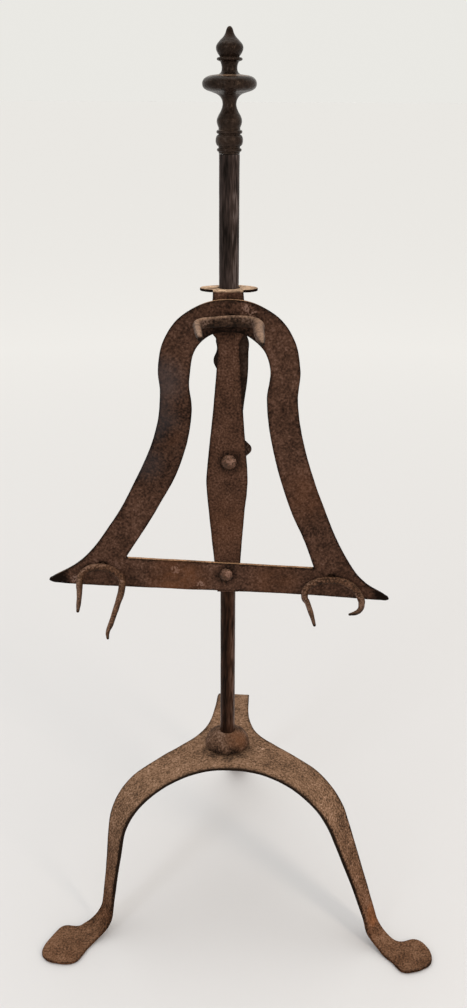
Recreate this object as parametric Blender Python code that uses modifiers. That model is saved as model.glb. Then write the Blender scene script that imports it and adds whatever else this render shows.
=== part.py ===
"""Wrought-iron ham holder stand.

A bell-shaped rack with three double-pronged forks slides and turns on a round
post, which stands on a forged tripod.  Metres, +Z up, the front of the rack
looks along -Y, and the origin lies on the floor under the middle of the
object's bounding box.
"""
import math

import bmesh
import bpy
from mathutils import Matrix, Vector

MM = 0.001
OBJECT_NAME = "ham_holder_stand"
GAP = 0.3 * MM                      # clearance left between touching pieces
MERGE_DISTANCE = 0.01 * MM          # points nearer than this are one point
FLAT_ANGLE = 0.001                  # radians; faces this close to level are joined
SHARP_ANGLE = 40.0                  # degrees; steeper edges stay sharp and are eased
UP = Vector((0.0, 0.0, 1.0))
BACK = Vector((0.0, 1.0, 0.0))

# ---------------------------------------------------------------- driving sizes
POST_AXIS = Vector((-9.0 * MM, -54.0 * MM, 0.0))
HUB_TOP = 154.5 * MM                # top face of the tripod's hub
IRON = 3.6 * MM                     # thickness of the tripod's strap

# The post: a thin lower shaft, a thicker upper shaft and a peened tenon.
POST_LOWER_RADIUS = 6.35 * MM
POST_UPPER_RADIUS = 7.45 * MM
POST_STEP_Z = 440.0 * MM
POST_STEP_SLOPE = 2.0 * MM          # height over which the upper shaft narrows
POST_TOP_Z = 650.5 * MM
TENON_RADIUS = 4.6 * MM
PEEN_RADIUS = 8.5 * MM
PEEN_HEIGHT = 3.0 * MM
PEEN_BAND = 0.4                     # share of the peen's height that is upright
PEEN_TIP = 0.62                     # radius of the peen's tip, as a share of its own
SPIGOT_RADIUS = 4.0 * MM
SPIGOT_LENGTH = 12.0 * MM

BOSS_RADIUS = 19.8 * MM
BOSS_HEIGHT = 15.6 * MM
BOSS_FOOT = 1.5 * MM                # upright band below the dome
BOSS_UNDERCUT = 0.8 * MM            # how far its bottom edge is drawn in

FINIAL_TIP_Z = 732.5 * MM

# The tripod's legs: direction in plan, then the side view of the strap as
# (radius, turn in degrees) of the shoulder and the knee, the ankle's radius,
# and the reach of the penny foot's centre from the post.  The half widths are
# those of the strap where it leaves the hub's fillets and above the ankle.
LEGS = {
    "left": {"direction": 209.7, "flat": 22.0, "shoulder": (155.0, 21.0),
             "knee": (53.3, 60.7), "ankle": 24.0, "reach": 163.0, "half_widths": (16.6, 9.4)},
    "right": {"direction": 331.1, "flat": 24.0, "shoulder": (154.4, 17.6),
              "knee": (64.7, 50.9), "ankle": 25.3, "reach": 185.0, "half_widths": (17.6, 10.0)},
    "rear": {"direction": 86.5, "flat": 47.5, "shoulder": (130.0, 16.0),
             "knee": (55.0, 50.0), "ankle": 25.0, "reach": 198.0, "half_widths": (15.6, 10.0)},
}
FILLET_END = 88.0 * MM              # distance along the strap where fillets end
ANKLE_TOP = 56.0 * MM               # strap's narrow end, this far short of the foot's centre
# Penny feet: outline from the strap's right-hand edge round the toe to its
# left-hand edge, as (distance beyond the foot's centre, offset to the left).
FEET = {
    "left": [(-40.0, -10.2), (-24.5, -11.8), (-18.5, -12.0), (-13.5, -14.8), (-9.0, -17.8),
             (-4.0, -18.2), (1.5, -15.6), (9.4, -10.8), (17.0, -4.8), (21.2, 1.6),
             (21.0, 6.8), (18.8, 11.8), (13.6, 17.0), (1.6, 23.6), (-4.5, 22.8),
             (-9.0, 20.0), (-16.2, 15.2), (-26.5, 11.2), (-40.0, 10.6)],
    "right": [(-40.0, -12.2), (-30.4, -12.2), (-21.3, -15.6), (-11.0, -19.4), (-6.9, -22.0),
              (-1.2, -23.8), (8.0, -18.6), (14.4, -11.0), (17.0, -5.5), (17.2, -1.0),
              (14.6, 5.6), (8.6, 12.0), (1.8, 15.3), (-4.0, 14.9), (-8.4, 11.4),
              (-12.0, 7.4), (-17.0, 5.1), (-22.0, 5.3), (-28.0, 6.6), (-40.0, 8.4)],
    "rear": [(-40.0, -10.0), (-28.0, -10.2), (-21.0, -12.0), (-14.0, -16.0), (-5.0, -20.2),
             (4.0, -21.0), (12.5, -17.5), (18.6, -10.5), (21.0, 0.0), (18.6, 10.5),
             (12.5, 17.5), (4.0, 21.0), (-5.0, 20.2), (-14.0, 16.0), (-21.0, 12.0),
             (-28.0, 10.2), (-40.0, 10.0)],
}
PENNY_RADIUS = 22.0 * MM            # from the foot's centre to the end of its toe
TRIPOD_EASE = 0.7 * MM              # width of the eased edges
# Distance from the post axis to the nearest point of each web between two legs.
WEBS = {("rear", "left"): 29.3 * MM, ("left", "right"): 36.0 * MM,
        ("right", "rear"): 32.6 * MM}

# The slider: a lozenge strip whose two ends are bent back round the post.
SLIDER_FRONT_Y = -13.0 * MM
SLIDER_THICKNESS = 2.6 * MM
SLIDER_BOTTOM_Z = 310.2 * MM
SLIDER_TOP_Z = 557.5 * MM
SLIDER_BEND = 3.6 * MM
SLIDER_EASE = 0.5 * MM
LUG_LENGTH = 9.0 * MM               # lower lug, from the post axis backwards
# Rounded end of the lug, in millimetres: (half width, distance from its end).
LUG_END = [(4.5, 0.6), (8.0, 3.6), (8.9, 8.0)]
FLANGE_HALF_LENGTH = 21.7 * MM
FLANGE_HALF_DEPTH = 11.8 * MM
FLANGE_SHIFT = 0.5 * MM             # how far the oval flange's middle lies in front of the post
FLANGE_HOLE_RADIUS = POST_UPPER_RADIUS + 0.4 * MM
LUG_HOLE_RADIUS = POST_LOWER_RADIUS + 0.4 * MM
# Up the strip's edges, in millimetres: (height, left half width, right half width).
SLIDER_EDGE = [(340, 11.4, 10.4), (380, 15.3, 13.2), (402, 17.2, 15.2), (409, 17.5, 15.6),
               (416, 17.0, 15.3), (440, 14.6, 13.4), (468, 11.8, 11.3), (500, 9.2, 9.3),
               (516, 8.5, 8.5), (521, 9.4, 9.4), (526, 12.6, 12.6), (540, 12.6, 12.6)]
NECK_HALF_WIDTHS = (11.9 * MM, 11.1 * MM)     # left, right
NECK_LENGTH = 5.0 * MM              # parallel part of the neck below the flange

# The bell: a flat plate in front of the slider.
BELL_THICKNESS = 4.0 * MM
BELL_EASE = 0.6 * MM
BELL_BACK_Y = SLIDER_FRONT_Y - GAP
BELL_FRONT_Y = BELL_BACK_Y - BELL_THICKNESS
# Outlines seen from the front, in millimetres from the post axis and floor.
# The last value of each point says whether it is smooth or a corner.
BELL_OUTER = [
    (0.6, 551.5, "smooth"), (31.4, 542.2, "smooth"), (47.4, 524.8, "smooth"),
    (53.9, 501.0, "smooth"), (53.1, 474.0, "smooth"), (59.4, 438.0, "smooth"),
    (77.1, 385.0, "smooth"), (96.6, 342.8, "smooth"), (111.2, 322.9, "smooth"),
    (129.6, 310.4, "smooth"), (132.3, 307.8, "smooth"), (130.8, 306.4, "smooth"),
    (125.0, 306.4, "smooth"), (58.9, 311.2, "smooth"), (-74.6, 317.2, "smooth"),
    (-136.5, 320.8, "smooth"), (-143.3, 322.1, "smooth"), (-145.5, 324.1, "smooth"),
    (-142.6, 326.3, "smooth"),
    (-119.2, 340.6, "smooth"), (-95.2, 370.2, "smooth"), (-72.2, 411.4, "smooth"),
    (-56.1, 451.0, "smooth"), (-52.0, 480.0, "smooth"), (-53.0, 501.0, "smooth"),
    (-46.6, 524.6, "smooth"), (-30.6, 542.2, "smooth"),
]
BELL_INNER = [
    (0.5, 527.1, "smooth"), (21.3, 518.6, "smooth"), (30.2, 502.8, "smooth"),
    (28.9, 474.0, "smooth"), (33.8, 438.0, "smooth"), (49.4, 385.0, "smooth"),
    (60.0, 361.0, "smooth"), (69.4, 335.4, "corner"), (-81.6, 343.9, "corner"),
    (-56.8, 384.4, "smooth"), (-36.4, 425.0, "smooth"), (-27.6, 466.0, "smooth"),
    (-29.0, 492.0, "smooth"), (-20.7, 518.9, "smooth"),
]

# Rivets through the plates: position across and up, from the post axis and floor.
FRAME_RIVET = (-1.4, 329.5)
SPRING_RIVET = (0.6, 424.5)
RIVET_SHANK_RADIUS = 2.6 * MM
HOLE_RADIUS = RIVET_SHANK_RADIUS + GAP
RIVET_HOLE_DEPTH = 8.0 * MM         # length of the cutters, more than any plate's thickness
BORE_DEPTH = 20.0 * MM
TAIL_RADIUS = 4.3 * MM              # flattened tails behind the plates
TAIL_HEIGHT = 1.2 * MM
FORK_TAIL_HEIGHT = 1.6 * MM
FRAME_RIVET_HEAD = (5.8 * MM, 3.0 * MM)       # radius, height
SPRING_RIVET_HEAD = (6.5 * MM, 3.8 * MM)

# The leaf spring between the slider and the post.  Its side view is a list of
# runs (length in millimetres, turn in degrees) up from its foot.
SPRING_RUNS = [(36.0, 0.0), (12.0, -1.6), (34.0, 0.0), (10.0, 3.2), (25.0, 0.0)]
SPRING_THICKNESS = 1.1 * MM
SPRING_FRONT_Y = SLIDER_FRONT_Y + SLIDER_THICKNESS + GAP
SPRING_FOOT_Z = 409.0 * MM
# Outline as (x, distance along the spring from its foot), in millimetres.
SPRING_OUTLINE = [
    (0.0, 0.0, "smooth"), (7.5, 3.5, "smooth"), (9.3, 15.5, "smooth"),
    (13.6, 19.0, "smooth"), (18.2, 25.2, "smooth"), (13.8, 31.8, "smooth"),
    (9.8, 35.0, "smooth"), (11.7, 59.0, "smooth"), (14.6, 83.0, "smooth"),
    (15.0, 100.0, "smooth"), (14.6, 112.0, "smooth"), (9.0, 119.0, "smooth"),
    (-5.0, 119.0, "smooth"), (-9.4, 112.0, "smooth"), (-8.8, 104.0, "smooth"),
    (-11.4, 95.0, "smooth"), (-8.2, 86.0, "smooth"), (-7.8, 59.0, "smooth"),
    (-8.0, 14.0, "smooth"), (-6.5, 3.5, "smooth"),
]

# Forks: centre line of each bent rod, tip to tip, as points (x, y, z) in
# millimetres from the post axis and floor, with the rod's relative thickness.
ROD_Y = -20.6                       # crown of the rod, lying against the plate
CORNER_Y = -21.6                    # where the rod starts to turn forwards
FORKS = {
    "fork_top": {
        "rod_radius": 3.0 * MM, "shank": (0.4, 536.1), "grip": "slider",
        "points": [(-18.8, -80.0, 536.5, 0.55), (-20.4, -62.0, 536.3, 0.82),
                   (-21.8, -42.0, 535.8, 0.88), (-22.2, -28.0, 535.4, 0.9),
                   (-18.6, -22.0, 535.2, 1.0), (-9.0, ROD_Y, 535.8, 1.0),
                   (0.0, ROD_Y, 536.2, 1.0), (10.0, ROD_Y, 536.2, 1.0),
                   (18.2, -22.0, 535.6, 1.05), (21.4, -28.5, 535.0, 1.3),
                   (21.6, -45.0, 534.4, 1.25), (22.2, -65.0, 533.6, 1.0),
                   (23.4, -80.0, 533.2, 0.4)],
    },
    "fork_left": {
        "rod_radius": 2.6 * MM, "shank": (-101.0, 337.0), "grip": "bell",
        "points": [(-112.6, -78.8, 328.2, 0.3), (-114.0, -64.0, 327.9, 0.6),
                   (-116.3, -45.0, 327.2, 0.76), (-118.6, -27.0, 327.0, 0.95),
                   (-118.2, CORNER_Y, 330.0, 1.0), (-112.5, ROD_Y, 335.0, 1.0),
                   (-101.0, ROD_Y, 337.0, 1.0), (-90.8, ROD_Y, 333.0, 1.0),
                   (-85.2, CORNER_Y, 326.0, 1.0), (-85.0, -27.0, 322.3, 1.0),
                   (-86.2, -49.5, 319.2, 0.8), (-88.5, -75.0, 315.7, 0.64),
                   (-89.8, -87.0, 313.8, 0.45), (-89.2, -91.2, 312.0, 0.25)],
    },
    "fork_right": {
        "rod_radius": 2.6 * MM, "shank": (84.0, 326.5), "grip": "bell",
        "points": [(66.0, -80.0, 318.0, 0.3), (65.0, -62.0, 317.3, 0.6),
                   (63.3, -40.0, 316.2, 0.8), (62.0, -27.0, 315.4, 0.95),
                   (63.4, CORNER_Y, 318.6, 1.0), (71.0, ROD_Y, 324.4, 1.0),
                   (84.0, ROD_Y, 326.5, 1.0), (97.0, ROD_Y, 323.4, 1.0),
                   (105.4, CORNER_Y, 316.0, 1.0), (107.8, -26.5, 312.4, 1.0),
                   (107.2, -35.0, 312.0, 0.86), (105.0, -44.0, 312.4, 0.74),
                   (100.6, -51.6, 313.4, 0.54), (95.0, -57.0, 314.9, 0.25)],
    },
}

CURVE_STEPS = 4                     # points between two outline points
ROUND_STEPS = 32                    # sides of a turned piece
FINIAL_STEPS = 36
RIVET_STEPS = 20
HOLE_STEPS = 28


# ---------------------------------------------------------------- scene helpers
def clear_scene():
    for item in list(bpy.data.objects):
        bpy.data.objects.remove(item, do_unlink=True)


def make_collection(name):
    group = bpy.data.collections.new(name)
    bpy.context.scene.collection.children.link(group)
    return group


def make_material(name, colour, roughness, metallic):
    material = bpy.data.materials.new(name)
    material.use_nodes = True
    shader = material.node_tree.nodes["Principled BSDF"]
    shader.inputs["Base Color"].default_value = (*colour, 1.0)
    shader.inputs["Roughness"].default_value = roughness
    shader.inputs["Metallic"].default_value = metallic
    return material


def add_object(name, mesh, group, material=None):
    item = bpy.data.objects.new(name, mesh)
    group.objects.link(item)
    if material is not None:
        mesh.materials.append(material)
    return item


def smooth_shading(item):
    item.data.shade_smooth()
    item.data.set_sharp_from_angle(angle=math.radians(SHARP_ANGLE))


# ---------------------------------------------------------------- shape helpers
def turned_piece(name, profile, group, material, steps=ROUND_STEPS, closed=False):
    """Turn a profile of (radius, height) points, listed from top to bottom."""
    mesh = bpy.data.meshes.new(name)
    points = [(radius, 0.0, height) for radius, height in profile]
    edges = [(i, i + 1) for i in range(len(points) - 1)]
    if closed:
        edges.append((len(points) - 1, 0))
    mesh.from_pydata(points, edges, [])
    item = add_object(name, mesh, group, material)
    screw = item.modifiers.new("turn", "SCREW")
    screw.steps = steps
    screw.render_steps = steps
    screw.use_merge_vertices = True
    screw.merge_threshold = MERGE_DISTANCE
    screw.use_smooth_shade = True
    return item


def evaluated_mesh(item):
    graph = bpy.context.evaluated_depsgraph_get()
    return bpy.data.meshes.new_from_object(item.evaluated_get(graph))


def outline_mesh(name, loops, group, half_thickness=0.0, steps=CURVE_STEPS):
    """Fill closed outlines of (x, y, kind) points, in metres, as one flat mesh."""
    curve = bpy.data.curves.new(name, "CURVE")
    curve.dimensions = "2D"
    curve.fill_mode = "BOTH"
    curve.extrude = half_thickness
    curve.resolution_u = steps
    for loop in loops:
        spline = curve.splines.new("BEZIER")
        spline.bezier_points.add(len(loop) - 1)
        spline.use_cyclic_u = True
        for point, (x, y, kind) in zip(spline.bezier_points, loop):
            point.co = (x, y, 0.0)
            handle = "AUTO" if kind == "smooth" else "VECTOR"
            point.handle_left_type = handle
            point.handle_right_type = handle
    item = bpy.data.objects.new(name, curve)
    group.objects.link(item)
    bpy.context.view_layer.update()
    mesh = evaluated_mesh(item)
    bpy.data.objects.remove(item, do_unlink=True)
    bpy.data.curves.remove(curve)
    shape = bmesh.new()
    shape.from_mesh(mesh)
    bmesh.ops.remove_doubles(shape, verts=shape.verts, dist=MERGE_DISTANCE)
    bmesh.ops.recalc_face_normals(shape, faces=shape.faces)
    shape.to_mesh(mesh)
    shape.free()
    return mesh


class FoldLine:
    """Side view of a bent bar: straight runs and arcs laid end to end.

    Each run is (length, turn in degrees).  A point at distance s along the bar
    lies at (out, up), measured from the start.
    """

    def __init__(self, start, heading, runs):
        self.marks = []
        place = Vector(start)
        angle = math.radians(heading)
        travelled = 0.0
        for length, turn in runs:
            self.marks.append((travelled, place.copy(), angle, length, math.radians(turn)))
            place = place + self._advance(angle, length, math.radians(turn), length)
            angle += math.radians(turn)
            travelled += length
        self.length = travelled

    @staticmethod
    def _advance(angle, length, turn, distance):
        if abs(turn) < 1e-9:
            return Vector((math.cos(angle), math.sin(angle))) * distance
        radius = length / turn
        end = angle + turn * distance / length
        return Vector((math.sin(end) - math.sin(angle), math.cos(angle) - math.cos(end))) * radius

    def at(self, distance):
        for travelled, place, angle, length, turn in reversed(self.marks):
            if distance >= travelled - 1e-9:
                return place + self._advance(angle, length, turn, distance - travelled)
        travelled, place, angle, length, turn = self.marks[0]
        return place + Vector((math.cos(angle), math.sin(angle))) * (distance - travelled)

    def stations(self, step=9.0):
        """Distances at which the flat bar must be cut across to follow the arcs."""
        cuts = []
        for travelled, _place, _angle, length, turn in self.marks:
            parts = max(1, math.ceil(abs(math.degrees(turn)) / step))
            cuts += [travelled + length * i / parts for i in range(parts)]
        return [cut for cut in cuts if cut > 1e-6] + [self.length]


def fold_along(shape, direction, fold, start, whole=False):
    """Bend a flat shape along direction, all of it or the part beyond start."""
    side = Vector((-direction.y, direction.x, 0.0))
    stations = fold.stations() if whole else [0.0] + fold.stations()
    for cut in stations:
        geometry = shape.verts[:] + shape.edges[:] + shape.faces[:]
        bmesh.ops.bisect_plane(shape, geom=geometry, dist=1e-7,
                               plane_co=direction * (start + cut), plane_no=direction)
    for vert in shape.verts:
        along = vert.co.dot(direction) - start
        if whole or along > -1e-7:
            out, up = fold.at(along)
            vert.co = direction * out + side * vert.co.dot(side) + Vector((0.0, 0.0, up))


def cylinder_mesh(name, radius, depth, steps):
    mesh = bpy.data.meshes.new(name)
    shape = bmesh.new()
    bmesh.ops.create_cone(shape, cap_ends=True, segments=steps,
                          radius1=radius, radius2=radius, depth=depth)
    shape.to_mesh(mesh)
    shape.free()
    return mesh


def drill(item, cutters, name, radius, place, axis, depth):
    """Bore a round hole through item at place, along axis."""
    tool = add_object(name, cylinder_mesh(name, radius, depth, HOLE_STEPS), cutters)
    tool.location = place
    tool.rotation_mode = "QUATERNION"
    tool.rotation_quaternion = UP.rotation_difference(axis)
    tool.hide_render = True
    tool.display_type = "WIRE"
    cut = item.modifiers.new(name, "BOOLEAN")
    cut.operation = "DIFFERENCE"
    cut.solver = "EXACT"
    cut.object = tool


def thicken(item, thickness):
    solid = item.modifiers.new("thickness", "SOLIDIFY")
    solid.thickness = thickness
    solid.offset = -1.0
    solid.use_even_offset = True


def ease_edges(item, width):
    bevel = item.modifiers.new("eased_edges", "BEVEL")
    bevel.width = width
    bevel.segments = 1
    bevel.limit_method = "ANGLE"
    bevel.angle_limit = math.radians(SHARP_ANGLE)


def plan_direction(degrees):
    angle = math.radians(degrees)
    return Vector((math.cos(angle), math.sin(angle), 0.0))


def from_axis(x, y, z):
    """A place given in millimetres from the post axis and the floor."""
    return POST_AXIS + Vector((x, y, z)) * MM


# ---------------------------------------------------------------- tripod
def leg_fold(leg):
    """Side view of one leg, from the edge of the hub's flat to the toe."""
    shoulder_radius, shoulder_turn = leg["shoulder"]
    knee_radius, knee_turn = leg["knee"]
    steep = shoulder_turn + knee_turn
    shoulder = (shoulder_radius * MM * math.radians(shoulder_turn), -shoulder_turn)
    knee = (knee_radius * MM * math.radians(knee_turn), -knee_turn)
    ankle_radius = leg["ankle"] * MM
    top = FoldLine((leg["flat"] * MM, HUB_TOP), 0.0, [shoulder, knee])
    knee_end = top.at(top.length)
    ankle_drop = ankle_radius * (1.0 - math.cos(math.radians(steep)))
    shank = (knee_end.y - ankle_drop - IRON) / math.sin(math.radians(steep))
    runs = [shoulder, knee, (shank, 0.0), (ankle_radius * math.radians(steep), steep)]
    bent = FoldLine((leg["flat"] * MM, HUB_TOP), 0.0, runs)
    ankle_end = bent.at(bent.length)
    toe = leg["reach"] * MM + PENNY_RADIUS - ankle_end.x
    return FoldLine((leg["flat"] * MM, HUB_TOP), 0.0, runs + [(toe, 0.0)])


def leg_outline(name, fold):
    """Outline of a leg laid flat, from the fillet on its right to the one on its left."""
    leg = LEGS[name]
    hub_half, ankle_half = [half * MM for half in leg["half_widths"]]
    penny_centre = leg["flat"] * MM + fold.length - PENNY_RADIUS
    ankle_top = penny_centre - ANKLE_TOP
    right = [(FILLET_END, -hub_half), (ankle_top, -ankle_half)]
    foot = [(penny_centre + along * MM, left * MM) for along, left in FEET[name]]
    left = [(ankle_top, ankle_half), (FILLET_END, hub_half)]
    direction = plan_direction(leg["direction"])
    across = Vector((-direction.y, direction.x, 0.0))
    return [direction * along + across * offset for along, offset in right + foot + left]


def web_curve(first, second, nearest, steps=6):
    """Fillet between two neighbouring legs, passing nearest from the post axis."""
    out_a = plan_direction(first["direction"])
    out_b = plan_direction(second["direction"])
    start = out_a * FILLET_END + Vector((-out_a.y, out_a.x, 0.0)) * first["half_widths"][0] * MM
    end = out_b * FILLET_END - Vector((-out_b.y, out_b.x, 0.0)) * second["half_widths"][0] * MM
    bisector = (out_a + out_b).normalized()
    spread = (start.dot(bisector) - nearest) / (0.75 * out_a.dot(bisector))
    handle_a = start - out_a * spread
    handle_b = end - out_b * spread
    curve = []
    for i in range(1, steps):
        t = i / steps
        curve.append(start * (1 - t) ** 3 + handle_a * 3 * t * (1 - t) ** 2
                     + handle_b * 3 * t * t * (1 - t) + end * t ** 3)
    return curve


def make_tripod(group, cutters, material):
    order = ["left", "right", "rear"]
    folds = {name: leg_fold(LEGS[name]) for name in order}
    outline = []
    for i, name in enumerate(order):
        following = order[(i + 1) % 3]
        outline += leg_outline(name, folds[name])
        outline += web_curve(LEGS[name], LEGS[following], WEBS[(name, following)])
    loop = [(point.x, point.y, "smooth") for point in outline]
    flat = outline_mesh("tripod_base", [loop], group, steps=2)
    shape = bmesh.new()
    shape.from_mesh(flat)
    for face in shape.faces:
        if face.normal.z < 0.0:
            face.normal_flip()
    bmesh.ops.dissolve_limit(shape, angle_limit=FLAT_ANGLE, verts=shape.verts, edges=shape.edges)
    bmesh.ops.translate(shape, verts=shape.verts, vec=(0.0, 0.0, HUB_TOP))
    for name in order:
        leg = LEGS[name]
        fold_along(shape, plan_direction(leg["direction"]), folds[name], leg["flat"] * MM)
    shape.to_mesh(flat)
    shape.free()
    item = add_object("tripod_base", flat, group, material)
    item.location = POST_AXIS
    thicken(item, IRON)
    ease_edges(item, TRIPOD_EASE)
    drill(item, cutters, "tenon_hole", TENON_RADIUS + GAP,
          POST_AXIS + UP * HUB_TOP, UP, BORE_DEPTH)
    smooth_shading(item)


# ---------------------------------------------------------------- post and finial
def make_boss(group, material):
    """Domed collar that the post passes through, standing on the hub."""
    base = HUB_TOP + GAP
    bore = POST_LOWER_RADIUS + GAP
    profile = [(bore, base + BOSS_HEIGHT * math.sqrt(1.0 - (bore / BOSS_RADIUS) ** 2))]
    for degrees in range(64, -1, -8):
        angle = math.radians(degrees)
        profile.append((BOSS_RADIUS * math.cos(angle),
                        base + BOSS_FOOT + (BOSS_HEIGHT - BOSS_FOOT) * math.sin(angle)))
    profile += [(BOSS_RADIUS - BOSS_UNDERCUT, base), (bore, base)]
    item = turned_piece("post_boss", profile, group, material, closed=True)
    item.location = POST_AXIS


def make_post(group, material):
    """One bar: spigot, thick upper shaft, thin lower shaft, tenon, peened end."""
    hub_bottom = HUB_TOP - IRON
    peen_top = hub_bottom - GAP
    profile = [
        (0.0, POST_TOP_Z + SPIGOT_LENGTH), (SPIGOT_RADIUS, POST_TOP_Z + SPIGOT_LENGTH),
        (SPIGOT_RADIUS, POST_TOP_Z), (POST_UPPER_RADIUS, POST_TOP_Z),
        (POST_UPPER_RADIUS, POST_STEP_Z), (POST_LOWER_RADIUS, POST_STEP_Z - POST_STEP_SLOPE),
        (POST_LOWER_RADIUS, HUB_TOP + GAP), (TENON_RADIUS, HUB_TOP + GAP),
        (TENON_RADIUS, peen_top), (PEEN_RADIUS, peen_top),
        (PEEN_RADIUS, peen_top - PEEN_HEIGHT * PEEN_BAND),
        (PEEN_RADIUS * PEEN_TIP, peen_top - PEEN_HEIGHT), (0.0, peen_top - PEEN_HEIGHT),
    ]
    item = turned_piece("post", profile, group, material)
    item.location = POST_AXIS


def bead(centre_z, half_height, inner, outer, steps=6):
    """Points of a rounded bead between two grooves, from top to bottom."""
    points = []
    for i in range(steps + 1):
        angle = math.pi * i / steps
        points.append((inner + (outer - inner) * math.sin(angle),
                       centre_z + half_height * math.cos(angle)))
    return points


def finial_profile():
    """Turned finial, from the tip down to the post, as (radius, height)."""
    tip = FINIAL_TIP_Z
    profile = [(0.0, tip)]
    profile += [(1.5 * MM, tip - 0.7 * MM), (2.6 * MM, tip - 3.0 * MM),
                (3.4 * MM, tip - 5.0 * MM), (4.6 * MM, tip - 6.8 * MM)]
    profile += bead(tip - 13.4 * MM, 5.4 * MM, 5.6 * MM, 9.4 * MM)
    profile += bead(tip - 20.6 * MM, 1.4 * MM, 7.2 * MM, 9.0 * MM, 4)
    profile += [(5.9 * MM, tip - 24.0 * MM), (5.5 * MM, tip - 26.5 * MM),
                (6.6 * MM, tip - 29.2 * MM), (13.5 * MM, tip - 31.0 * MM)]
    profile += bead(tip - 36.2 * MM, 4.2 * MM, 16.0 * MM, 19.0 * MM)
    profile += [(11.6 * MM, tip - 41.3 * MM), (7.0 * MM, tip - 43.9 * MM),
                (5.2 * MM, tip - 46.6 * MM), (4.9 * MM, tip - 49.2 * MM),
                (5.4 * MM, tip - 52.2 * MM), (7.3 * MM, tip - 55.8 * MM),
                (8.8 * MM, tip - 58.6 * MM), (8.8 * MM, tip - 61.0 * MM),
                (7.6 * MM, tip - 64.4 * MM)]
    profile += bead(tip - 67.2 * MM, 1.4 * MM, 7.8 * MM, 9.3 * MM, 4)
    profile += bead(tip - 72.8 * MM, 3.9 * MM, 7.8 * MM, 9.8 * MM)
    profile += bead(tip - 79.1 * MM, 1.3 * MM, 7.6 * MM, 8.8 * MM, 4)
    return profile


def make_finial(group, material):
    bottom = POST_TOP_Z + GAP
    bore = SPIGOT_RADIUS + GAP
    bore_top = POST_TOP_Z + SPIGOT_LENGTH + GAP
    profile = finial_profile()
    profile += [(POST_UPPER_RADIUS, bottom), (bore, bottom), (bore, bore_top), (0.0, bore_top)]
    item = turned_piece("finial", profile, group, material, FINIAL_STEPS)
    item.location = POST_AXIS


# ---------------------------------------------------------------- rack plates
def slider_fold():
    """Side view of the slider: lower lug, strip and upper flange."""
    bend = SLIDER_BEND * math.pi / 2.0
    lug = LUG_LENGTH - SLIDER_FRONT_Y - SLIDER_BEND
    strip = SLIDER_TOP_Z - SLIDER_BOTTOM_Z - 2.0 * SLIDER_BEND
    flange = FLANGE_HALF_DEPTH - FLANGE_SHIFT - SLIDER_FRONT_Y - SLIDER_BEND
    return FoldLine((LUG_LENGTH, SLIDER_BOTTOM_Z), 180.0,
                    [(lug, 0.0), (bend, -90.0), (strip, 0.0), (bend, -90.0), (flange, 0.0)])


def slider_half(fold, side):
    """One edge of the slider laid flat, from the lug's end to the flange's (side 0 is left)."""
    lug_end = LUG_LENGTH - SLIDER_FRONT_Y - SLIDER_BEND
    strip_start = lug_end + SLIDER_BEND * math.pi / 2.0
    to_blank = strip_start - SLIDER_BOTTOM_Z - SLIDER_BEND
    half = [(x * MM, y * MM, "smooth") for x, y in LUG_END]
    half.append((LUG_END[-1][0] * MM, strip_start, "smooth"))
    half += [(station[1 + side] * MM, station[0] * MM + to_blank, "smooth")
             for station in SLIDER_EDGE]
    flange_start = fold.length - (FLANGE_HALF_DEPTH - FLANGE_SHIFT - SLIDER_FRONT_Y - SLIDER_BEND)
    centre = fold.length - FLANGE_HALF_DEPTH
    half += [(NECK_HALF_WIDTHS[side], flange_start - NECK_LENGTH, "smooth"),
             (NECK_HALF_WIDTHS[side], flange_start - 0.2 * MM, "corner")]
    for degrees in range(-48, 80, 16):
        angle = math.radians(degrees)
        half.append((FLANGE_HALF_LENGTH * math.cos(angle),
                     centre + FLANGE_HALF_DEPTH * math.sin(angle), "smooth"))
    return half


def make_slider(group, cutters, material):
    fold = slider_fold()
    left = [(-x, y, kind) for x, y, kind in reversed(slider_half(fold, 0))]
    right = slider_half(fold, 1)
    loop = [(0.0, 0.0, "smooth")] + right + [(0.0, fold.length, "smooth")] + left
    mesh = outline_mesh("slider_plate", [loop], group)
    shape = bmesh.new()
    shape.from_mesh(mesh)
    for face in shape.faces:
        if face.normal.z < 0.0:
            face.normal_flip()
    bmesh.ops.dissolve_limit(shape, angle_limit=FLAT_ANGLE, verts=shape.verts, edges=shape.edges)
    fold_along(shape, BACK, fold, 0.0, whole=True)
    shape.to_mesh(mesh)
    shape.free()
    item = add_object("slider_plate", mesh, group, material)
    item.location = POST_AXIS
    thicken(item, SLIDER_THICKNESS)
    ease_edges(item, SLIDER_EASE)
    drill(item, cutters, "flange_bore", FLANGE_HOLE_RADIUS,
          POST_AXIS + UP * SLIDER_TOP_Z, UP, BORE_DEPTH)
    drill(item, cutters, "lug_bore", LUG_HOLE_RADIUS,
          POST_AXIS + UP * SLIDER_BOTTOM_Z, UP, BORE_DEPTH)
    for name, (x, z) in (("frame_rivet_slider_hole", FRAME_RIVET),
                         ("spring_rivet_slider_hole", SPRING_RIVET),
                         ("fork_top_slider_hole", FORKS["fork_top"]["shank"])):
        drill(item, cutters, name, HOLE_RADIUS, from_axis(x, SLIDER_FRONT_Y / MM, z),
              BACK, RIVET_HOLE_DEPTH)
    smooth_shading(item)


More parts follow.
